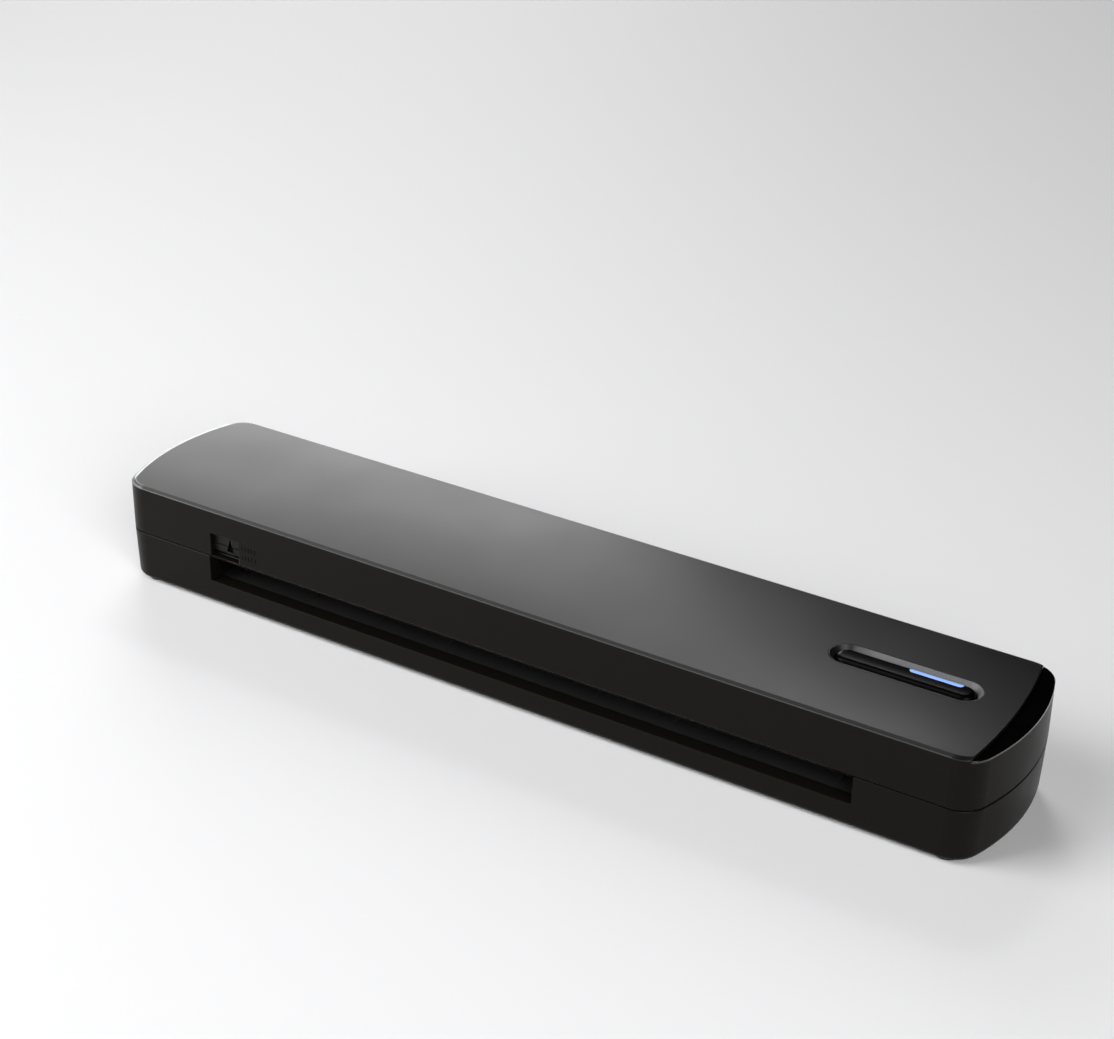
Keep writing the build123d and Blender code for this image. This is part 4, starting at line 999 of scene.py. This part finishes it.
def piece(name: str, copies: list[Copy], finish: Finish, body: str,
          stands_for: tuple[str, ...] = ()) -> bpy.types.Object:
    """Joins copies of forms into one piece of the printer.

    Args:
        name: the piece's name.
        copies: the forms and their places.
        finish: the finish that it gets.
        body: the moving body that it rides on.
        stands_for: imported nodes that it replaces.

    Returns:
        The new object.
    """
    whole = bmesh.new()
    for copy in copies:
        before = len(whole.verts)
        whole.from_mesh(copy.mesh)
        whole.verts.ensure_lookup_table()
        bmesh.ops.transform(whole, matrix=copy.matrix, verts=whole.verts[before:])
    for edge in whole.edges:
        edge.smooth = len(edge.link_faces) == 2 and edge.calc_face_angle(math.pi) < SMOOTH_UNDER
    for face in whole.faces:
        face.smooth = True
    mesh = bpy.data.meshes.new(name)
    whole.to_mesh(mesh)
    whole.free()
    mesh.materials.append(finish.material())
    made = bpy.data.objects.new(name, mesh)
    bpy.context.scene.collection.objects.link(made)
    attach(made, body)
    if stands_for:
        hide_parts(*stands_for)
    return made


# --------------------------------------------------------------- sub-assemblies
@dataclass(frozen=True)
class ScrewSet:
    """Pan-head screws with a cross recess and a thread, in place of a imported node's plain ones."""

    node: str
    body: str
    head_up: bool
    head_radius: float = 2.3
    head_height: float = 1.4
    shank_radius: float = 1.25
    core_radius: float = 1.0
    thread: float = 0.6
    recess: Pair = (2.2, 0.5)
    recess_deep: float = 0.9
    turn_step: float = 0.7

    def form(self, length: float) -> bpy.types.Mesh:
        """One screw, head up, seated at height zero.

        Args:
            length: of the shank, in millimetres.

        Returns:
            The mesh.
        """
        radius, head = self.head_radius, self.head_height
        outline = [(0.0, head), (0.5 * radius, head), (0.76 * radius, 0.87 * head),
                   (0.93 * radius, 0.6 * head), (radius, 0.25 * head), (radius, 0.0), (self.shank_radius, 0.0)]
        for turn in range(int((length - self.thread) / self.thread)):
            low = -self.thread * (turn + 1)
            outline += [(self.core_radius, low + 0.3 * self.thread), (self.shank_radius, low)]
        outline += [(0.6 * self.core_radius, -length), (0.0, -length)]
        return carve_cross(lathe(outline), self.recess, (head - self.recess_deep, head + 1.0), 0.08)

    def build(self) -> list[bpy.types.Object]:
        """Makes one screw for each solid of the node.

        Returns:
            The joined screws.
        """
        spans = solids_of(self.node)
        screw = self.form(spans[0].size.z / MM - self.head_height)
        copies = []
        for number, span in enumerate(spans):
            seat = span.high.z - self.head_height * MM if self.head_up else span.low.z + self.head_height * MM
            place = Vector((span.middle.x, span.middle.y, seat))
            copies.append(Copy(screw, place, flipped=not self.head_up, turn=self.turn_step * number))
        return [piece(f"{self.node}_crossed", copies, Looks.SCREW, self.body, (self.node,))]


@dataclass(frozen=True)
class Feet:
    """Rubber feet with a dished sole."""

    node: str = "rubber_feet"
    ease: float = 0.3
    dish: float = 0.35

    def build(self) -> list[bpy.types.Object]:
        """Makes one foot for each solid of the node.

        Returns:
            The joined feet.
        """
        spans = solids_of(self.node)
        radius = spans[0].size.x / MM / 2
        height = spans[0].size.z / MM
        outline = [(0.0, height), (radius, height), (radius, self.ease), (radius - self.ease, 0.0),
                   (0.72 * radius, 0.0), (0.64 * radius, self.dish), (0.3 * radius, self.dish),
                   (0.24 * radius, 0.4 * self.dish), (0.0, 0.4 * self.dish)]
        foot = lathe(outline, 48)
        copies = [Copy(foot, span.foot) for span in spans]
        return [piece(f"{self.node}_dished", copies, Looks.FOOT, "base", (self.node,))]


@dataclass(frozen=True)
class Chips:
    """Packages of the driver and the processor, with a sunk dot and bent leads."""

    pitch: float = 0.8
    row_ends: float = 0.8
    lead_width: float = 0.32
    lead_thick: float = 0.15
    reach: float = 0.9
    shoulder: float = 0.55
    lift: float = 0.12
    side_gap: float = 0.2
    dot_radius: float = 0.45
    dot_deep: float = 0.06
    dot_place: Point = (-1.7, -1.0, 0.0)

    def build(self, spans: tuple[Span, ...]) -> list[bpy.types.Object]:
        """Makes the packages and their leads.

        Args:
            spans: where the chips are.

        Returns:
            The packages and the leads.
        """
        bodies, leads = [], []
        inset = Vector((self.reach, self.side_gap, 0.0)) * MM
        dot = [(0.0, 0.4), (self.dot_radius, 0.4), (self.dot_radius, -self.dot_deep), (0.0, -self.dot_deep)]
        lift = Vector((0.0, 0.0, self.lift)) * MM
        for span in spans:
            mark = lathe(dot, 20)
            mark.transform(Matrix.Translation(span.high + Vector(self.dot_place) * MM))
            bodies.append(Copy(carve(brick(span.low + inset + lift, span.high - inset, 0.1), mark)))
            count = int((span.size.y / MM - self.row_ends) / self.pitch) + 1
            start = span.middle.y / MM - (count - 1) * self.pitch / 2
            for side, edge in ((-1, span.low.x), (1, span.high.x)):
                lead = self.lead(side)
                for number in range(count):
                    place = Vector((edge, (start + number * self.pitch) * MM, span.low.z))
                    leads.append(Copy(lead, place))
        return [piece("chip_packages", bodies, Looks.CHIP, "base", ("board_components",)),
                piece("chip_leads", leads, Looks.TIN, "base")]

    def lead(self, side: int) -> bpy.types.Mesh:
        """One bent lead, whose foot ends at the origin.

        Args:
            side: 1 where the lead points along +X, or -1.

        Returns:
            The mesh.
        """
        reach, thick, top = self.reach, self.lead_thick, self.shoulder
        over = [(0.0, thick), (-0.35 * reach, thick), (-0.6 * reach, top), (-1.1 * reach, top)]
        under = [(-1.1 * reach, top - thick), (-0.5 * reach, top - thick), (-0.3 * reach, 0.0), (0.0, 0.0)]
        shape = bmesh.new()
        ring = [shape.verts.new((x * side * MM, -self.lead_width / 2 * MM, z * MM)) for x, z in over + under]
        moved = bmesh.ops.extrude_face_region(shape, geom=[shape.faces.new(ring)])["geom"]
        verts = [item for item in moved if isinstance(item, bmesh.types.BMVert)]
        bmesh.ops.translate(shape, vec=(0.0, self.lead_width * MM, 0.0), verts=verts)
        return closed_mesh(shape)


@dataclass(frozen=True)
class Coil:
    """Drum core with copper windings; the widths are shares of the coil's radius or height."""

    flange: float = 0.16
    waist: float = 0.55
    inner: float = 0.5
    groove: float = 0.84
    crest: float = 0.92
    turns: int = 7

    def build(self, span: Span) -> list[bpy.types.Object]:
        """Makes the core and the windings.

        Args:
            span: where the coil is.

        Returns:
            The core and the windings.
        """
        radius, height = span.size.x / MM / 2, span.size.z / MM
        flange, waist = self.flange * height, self.waist * radius
        core = [(0.0, 0.0), (radius, 0.0), (radius, flange), (waist, flange),
                (waist, height - flange), (radius, height - flange), (radius, height), (0.0, height)]
        winding = [(self.inner * radius, flange)]
        pitch = (height - 2 * flange) / self.turns
        for turn in range(self.turns):
            low = flange + turn * pitch
            winding += [(self.groove * radius, low + 0.15 * pitch), (self.crest * radius, low + 0.5 * pitch),
                        (self.groove * radius, low + 0.85 * pitch)]
        winding.append((self.inner * radius, height - flange))
        return [piece("coil_core", [Copy(lathe(core), span.foot)], Looks.CHIP, "base"),
                piece("coil_winding", [Copy(lathe(winding), span.foot)], Looks.COPPER, "base")]


@dataclass(frozen=True)
class Capacitor:
    """Round can in a shrunk sleeve, with a scored top."""

    shoulder: float = 0.25
    sunk: float = 0.2
    score: float = 0.18
    score_deep: float = 0.1

    def build(self, span: Span) -> list[bpy.types.Object]:
        """Makes the sleeve and the can.

        Args:
            span: where the capacitor is.

        Returns:
            The sleeve and the can.
        """
        radius, height = span.size.x / MM / 2, span.size.z / MM
        hem = height - self.sunk
        sleeve = [(0.3 * radius, 0.0), (radius, 0.0), (radius, height - self.shoulder),
                  (0.94 * radius, height), (0.8 * radius, height), (0.78 * radius, hem), (0.3 * radius, hem)]
        can = [(0.0, 0.1), (0.9 * radius, 0.1), (0.9 * radius, height - 0.3),
               (0.78 * radius, hem + self.score_deep), (0.0, hem + self.score_deep)]
        scored = carve_cross(lathe(can), (1.1 * radius, self.score), (hem, height), 0.02)
        return [piece("capacitor_sleeve", [Copy(lathe(sleeve), span.foot)], Looks.RESIN, "base"),
                piece("capacitor_can", [Copy(scored, span.foot)], Looks.TIN, "base")]


@dataclass(frozen=True)
class Plug:
    """Open plug housing with a row of pins."""

    wall: float = 0.7
    floor: float = 1.0
    slot_half: float = 1.2
    slot_deep: float = 1.5
    slot_floor: float = 2.0
    pins: int = 4
    pin_pitch: float = 1.5
    pin_half: float = 0.25
    pin_foot: float = 0.8
    pin_height: float = 2.6

    def build(self, span: Span) -> list[bpy.types.Object]:
        """Makes the housing and the pins.

        Args:
            span: where the plug is.

        Returns:
            The housing and the pins.
        """
        wall = Vector((self.wall, self.wall, 0.0)) * MM
        floor = Vector((0.0, 0.0, self.floor)) * MM
        hollow = brick(span.low + wall + floor, span.high - wall + floor, 0.05)
        slot_low = Vector((span.middle.x - self.slot_half * MM, span.high.y - self.slot_deep * MM,
                           span.low.z + self.slot_floor * MM))
        slot_high = Vector((span.middle.x + self.slot_half * MM, span.high.y + MM, span.high.z + MM))
        body = carve(carve(brick(span.low, span.high, 0.15), hollow), brick(slot_low, slot_high, 0.05))
        half = Vector((self.pin_half, self.pin_half, 0.0)) * MM
        rise = Vector((0.0, 0.0, self.pin_height * MM))
        pins = []
        for number in range(self.pins):
            x = span.middle.x + (number - (self.pins - 1) / 2) * self.pin_pitch * MM
            foot = Vector((x, span.middle.y, span.low.z + self.pin_foot * MM))
            pins.append(Copy(brick(foot - half, foot + half + rise, 0.05)))
        return [piece("plug_housing", [Copy(body)], Looks.IVORY, "base"),
                piece("plug_pins", pins, Looks.TIN, "base")]


@dataclass(frozen=True)
class SmallParts:
    """Rows of small resistors and capacitors on both sides of the processor."""

    size: Point = (1.6, 0.8, 0.45)
    cap: float = 0.28
    rows: int = 4
    pitch: float = 1.82
    first: float = 1.2
    away: float = 2.4

    def build(self, chip: Span) -> list[bpy.types.Object]:
        """Makes the parts' bodies and their tinned ends.

        Args:
            chip: where the processor is.

        Returns:
            The bodies and the ends.
        """
        size = Vector(self.size) * MM
        half = Vector((size.x / 2, size.y / 2, 0.0))
        top = Vector((size.x / 2, size.y / 2, size.z))
        cap = Vector((self.cap * MM, 0.0, 0.0))
        middle = brick(-half + cap, top - cap, 0.04)
        ends = [brick(-half, Vector((-half.x + cap.x, top.y, top.z)), 0.04),
                brick(Vector((half.x - cap.x, -half.y, 0.0)), top, 0.04)]
        bodies, tips = [], []
        for row in range(self.rows):
            for side in (-1, 1):
                x = chip.middle.x + side * (chip.size.x / 2 + self.away * MM)
                place = Vector((x, chip.low.y + (self.first + row * self.pitch) * MM, chip.low.z))
                bodies.append(Copy(middle, place))
                tips += [Copy(end, place) for end in ends]
        return [piece("small_part_bodies", bodies, Looks.CHIP, "base"),
                piece("small_part_ends", tips, Looks.TIN, "base")]


class BoardParts:
    """Electronic parts of the main board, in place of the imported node's plain ones."""

    def build(self) -> list[bpy.types.Object]:
        """Makes the chips, the coil, the capacitor, the plug and the small parts.

        Returns:
            The pieces.
        """
        driver, processor, coil, plug, capacitor = solids_of("board_components")
        return [*Chips().build((driver, processor)), *Coil().build(coil), *Capacitor().build(capacitor),
                *Plug().build(plug), *SmallParts().build(processor)]


@dataclass(frozen=True)
class ResinBead:
    """Bead of black resin over the print head's driver chips."""

    half_width: float = 1.3
    height: float = 0.9
    sunk: float = 0.1
    from_line: float = -3.6
    end_gap: float = 6.0
    end_run: float = 0.8
    end_share: float = 0.25
    facets: int = 12

    def build(self) -> list[bpy.types.Object]:
        """Sweeps half an oval along the ceramic strip, under it.

        Returns:
            The bead.
        """
        strip = solids_of("thermal_head")[0]
        line_y = solids_of("platen_roller")[0].middle.y
        underside = strip.low.z + self.sunk * MM
        gap, run = self.end_gap * MM, (self.end_gap + self.end_run) * MM
        shape = bmesh.new()
        rings = []
        for x, share in ((strip.low.x + gap, self.end_share), (strip.low.x + run, 1.0),
                         (strip.high.x - run, 1.0), (strip.high.x - gap, self.end_share)):
            ring = []
            for number in range(self.facets + 1):
                angle = math.pi * number / self.facets
                y = line_y + (self.from_line + self.half_width * share * math.cos(angle)) * MM
                z = underside - self.height * share * math.sin(angle) * MM
                ring.append(shape.verts.new((x, y, z)))
            rings.append(ring)
        for first, second in zip(rings, rings[1:]):
            for number in range(self.facets + 1):
                after = (number + 1) % (self.facets + 1)
                shape.faces.new((first[number], first[after], second[after], second[number]))
        shape.faces.new(rings[0])
        shape.faces.new(rings[-1])
        return [piece("driver_resin_bead", [Copy(closed_mesh(shape))], Looks.RESIN, "head")]


@dataclass(frozen=True)
class Pressed:
    """A spring or plunger of the cover, copied from its imported node."""

    node: str
    joint: str
    finish: Finish
    keep: float
    seat_above: bool

    def build(self) -> list[bpy.types.Object]:
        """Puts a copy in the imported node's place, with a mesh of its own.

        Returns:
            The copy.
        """
        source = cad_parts[self.node]
        mesh = source.data.copy()
        mesh.transform(source.matrix_world)
        spans = solids_of(self.node)
        made = piece(f"{self.node}_pressed", [Copy(mesh)], self.finish, "cover", (self.node,))
        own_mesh(made)
        return [made]


class Half:
    """What the two halves of the printer share: added pieces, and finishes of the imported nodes."""

    added: ClassVar[tuple] = ()
    finishes: ClassVar[dict[str, Finish]] = {}

    def build(self) -> list[str]:
        """Makes the added pieces and returns their names."""
        return [made.name for part in self.added for made in part.build()]

    def dress(self) -> list[str]:
        """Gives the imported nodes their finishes.

        Returns:
            The nodes' names.
        """
        for node, finish in self.finishes.items():
            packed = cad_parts[node]
            for place in packed.material_slots:
                place.material = finish.material()
            if not packed.material_slots:
                packed.data.materials.append(finish.material())
        return list(self.finishes)


class Base(Half):
    """Lower casing with everything that stays in it."""

    added = (
        ScrewSet("chassis_screws", "base", head_up=True),
        ScrewSet("main_board_screws", "base", head_up=True),
        Feet(),
        BoardParts(),
    )
    finishes = {
        "lower_casing": Looks.CASE, "lower_paper_guide": Looks.GUIDE, "rear_paper_guide": Looks.GUIDE,
        "right_side_plate": Looks.SHEET, "left_side_plate": Looks.SHEET, "platen_bushings": Looks.BUSH,
        "idler_axle": Looks.GROUND, "feed_motor": Looks.CAN, "motor_bracket": Looks.SHEET,
        "main_board": Looks.BOARD, "usb_port": Looks.SOCKET, "platen_shaft": Looks.GROUND,
        "platen_roller": Looks.ROLLER, "platen_gear": Looks.GEAR, "shaft_clip": Looks.CLIP,
        "reduction_gear": Looks.GEAR, "motor_pinion": Looks.PINION, "motor_shaft": Looks.GROUND,
        "paper_sensor": Looks.CHIP, "latch_plates": Looks.SHEET,
    }


class Cover(Half):
    """Upper casing with the plate, the trim, the button and the print head."""

    added = (
        ScrewSet("frame_screws", "cover", head_up=False),
        ScrewSet("board_screws", "cover", head_up=False),
        Pressed("head_springs", "head_pivot", Looks.SPRING, keep=0.88, seat_above=True),
        Pressed("switch_plunger", "power_press", Looks.CHIP, keep=0.22, seat_above=False),
        ResinBead(),
    )
    finishes = {
        "upper_casing": Looks.MARKED, "top_plate": Looks.PLATE, "end_trim": Looks.TRIM,
        "latch_magnets": Looks.MAGNET, "head_board": Looks.BOARD, "hinge_pins": Looks.GROUND,
        "cover_frame": Looks.GUIDE, "head_heatsink": Looks.HEATSINK, "thermal_head": Looks.CERAMIC,
        "head_pivot_pins": Looks.GROUND, "power_button": Looks.BUTTON, "led_light_bar": Looks.LIGHT,
        "button_bezel": Looks.BEZEL, "button_board": Looks.BOARD, "tact_switch": Looks.CHIP,
        "paper_guide_slider": Looks.SLIDER, "battery_cells": Looks.CELL,
    }


# --------------------------------------------------------------------- studio
@dataclass(frozen=True)
class Lamp:
    """A soft lamp aimed at the printer: its place, its width and height, and its power."""

    name: str
    place: Point
    width: float
    height: float
    watts: float

    def build(self) -> None:
        """Hangs the lamp and aims it."""
        light = bpy.data.lights.new(self.name, "AREA")
        light.shape = "RECTANGLE"
        light.size = self.width
        light.size_y = self.height
        light.energy = self.watts
        lamp = bpy.data.objects.new(self.name, light)
        bpy.context.scene.collection.objects.link(lamp)
        turn = (-Vector(self.place)).to_track_quat("-Z", "Y").to_matrix().to_4x4()
        lamp.matrix_world = Matrix.Translation(self.place) @ turn


@dataclass(frozen=True)
class View:
    """The photograph's camera: its place, its angles in degrees and its lens."""

    place_mm: Point = (321.5, -514.4, 368.4)
    azimuth: float = 32.09
    elevation: float = 27.55
    roll: float = 0.82
    focal_pixels: float = 2262.5
    clip: Pair = (0.01, 50.0)

    def build(self) -> None:
        """Sets up the camera."""
        data = bpy.data.cameras.new("photo_camera")
        data.sensor_width = SENSOR_MM
        data.sensor_fit = "HORIZONTAL"
        data.lens = self.focal_pixels / IMAGE_W * SENSOR_MM
        data.clip_start, data.clip_end = self.clip
        turn, tilt, roll = (math.radians(angle) for angle in (self.azimuth, self.elevation, self.roll))
        ahead = Vector((-math.sin(turn) * math.cos(tilt), math.cos(turn) * math.cos(tilt), -math.sin(tilt)))
        level = Vector((math.cos(turn), math.sin(turn), 0.0))
        right = level * math.cos(roll) + level.cross(ahead) * math.sin(roll)
        axes = Matrix((right, right.cross(ahead), -ahead)).transposed().to_4x4()
        camera = bpy.data.objects.new("photo_camera", data)
        bpy.context.scene.collection.objects.link(camera)
        camera.matrix_world = Matrix.Translation(Vector(self.place_mm) * MM) @ axes
        bpy.context.scene.camera = camera


@dataclass(frozen=True)
class Studio:
    """Pale floor, soft lamps, a dim world and the camera."""

    floor_half: float = 6.0
    floor_colour: Colour = (0.86, 0.86, 0.87)
    floor_roughness: float = 0.7
    bright_side: Point = (-0.75, -0.45, 0.48)
    bright_range: Pair = (0.15, 0.9)
    sky: Pair = (0.0, 0.20)
    lamps: tuple[Lamp, ...] = (
        Lamp("rear_left_softbox", (-1.778, 2.080, 0.991), 1.176, 1.499, 27.81),
        Lamp("rear_softbox", (-0.513, 1.112, 1.196), 0.349, 0.200, 3.02),
        Lamp("overhead_softbox", (-0.857, -0.895, 1.6), 1.118, 1.118, 10.42),
        Lamp("left_fill", (-0.75, -0.60, 0.45), 0.8, 0.8, 9.96),
        Lamp("right_fill", (0.95, -0.75, 0.75), 0.8, 0.8, 13.22),
    )
    view: View = View()

    def build(self) -> list[str]:
        """Makes the floor, the world, the lamps and the camera.

        Returns:
            What was made, in words.
        """
        self.build_floor()
        self.build_world()
        for lamp in self.lamps:
            lamp.build()
        self.view.build()
        bpy.context.scene.view_settings.view_transform = "Standard"
        return ["floor", "world", *(lamp.name for lamp in self.lamps), "camera"]

    def build_floor(self) -> None:
        """A wide plain floor under the feet."""
        half = self.floor_half
        corners = [(-half, -half, 0), (half, -half, 0), (half, half, 0), (-half, half, 0)]
        mesh = bpy.data.meshes.new("floor")
        mesh.from_pydata(corners, [], [(0, 1, 2, 3)])
        floor = bpy.data.objects.new("floor", mesh)
        bpy.context.scene.collection.objects.link(floor)
        made = bpy.data.materials.new("pale_floor")
        made.use_nodes = True
        shader = made.node_tree.nodes["Principled BSDF"]
        shader.inputs["Base Color"].default_value = rgba(self.floor_colour)
        shader.inputs["Roughness"].default_value = self.floor_roughness
        mesh.materials.append(made)

    def build_world(self) -> None:
        """Soft grey light that falls off to the rear right, white where the camera sees it."""
        world = bpy.data.worlds.new("studio")
        world.use_nodes = True
        tree = Tree(world.node_tree)
        path = tree.add("ShaderNodeLightPath")
        seen = tree.maths("MAXIMUM", path.outputs["Is Camera Ray"], path.outputs["Is Transmission Ray"])
        ahead = tree.add("ShaderNodeTexCoord").outputs["Generated"]
        side = tree.vector("DOT_PRODUCT", ahead, self.bright_side)
        soft = tree.spread(side, *self.bright_range, *self.sky)
        background = world.node_tree.nodes["Background"]
        tree.wire(tree.maths("MAXIMUM", seen, soft), background.inputs["Strength"])
        bpy.context.scene.world = world


def main() -> None:
    """Builds the studio and the two halves of the printer, and reports each piece."""
    logging.basicConfig(level=logging.INFO, format="%(message)s")
    for name in Studio().build():
        log.info("Studio: %s", name)
    for half in (Base(), Cover()):
        for name in half.build() + half.dress():
            log.info("%s: %s", type(half).__name__, name)


if __name__ == "__main__":
    main()
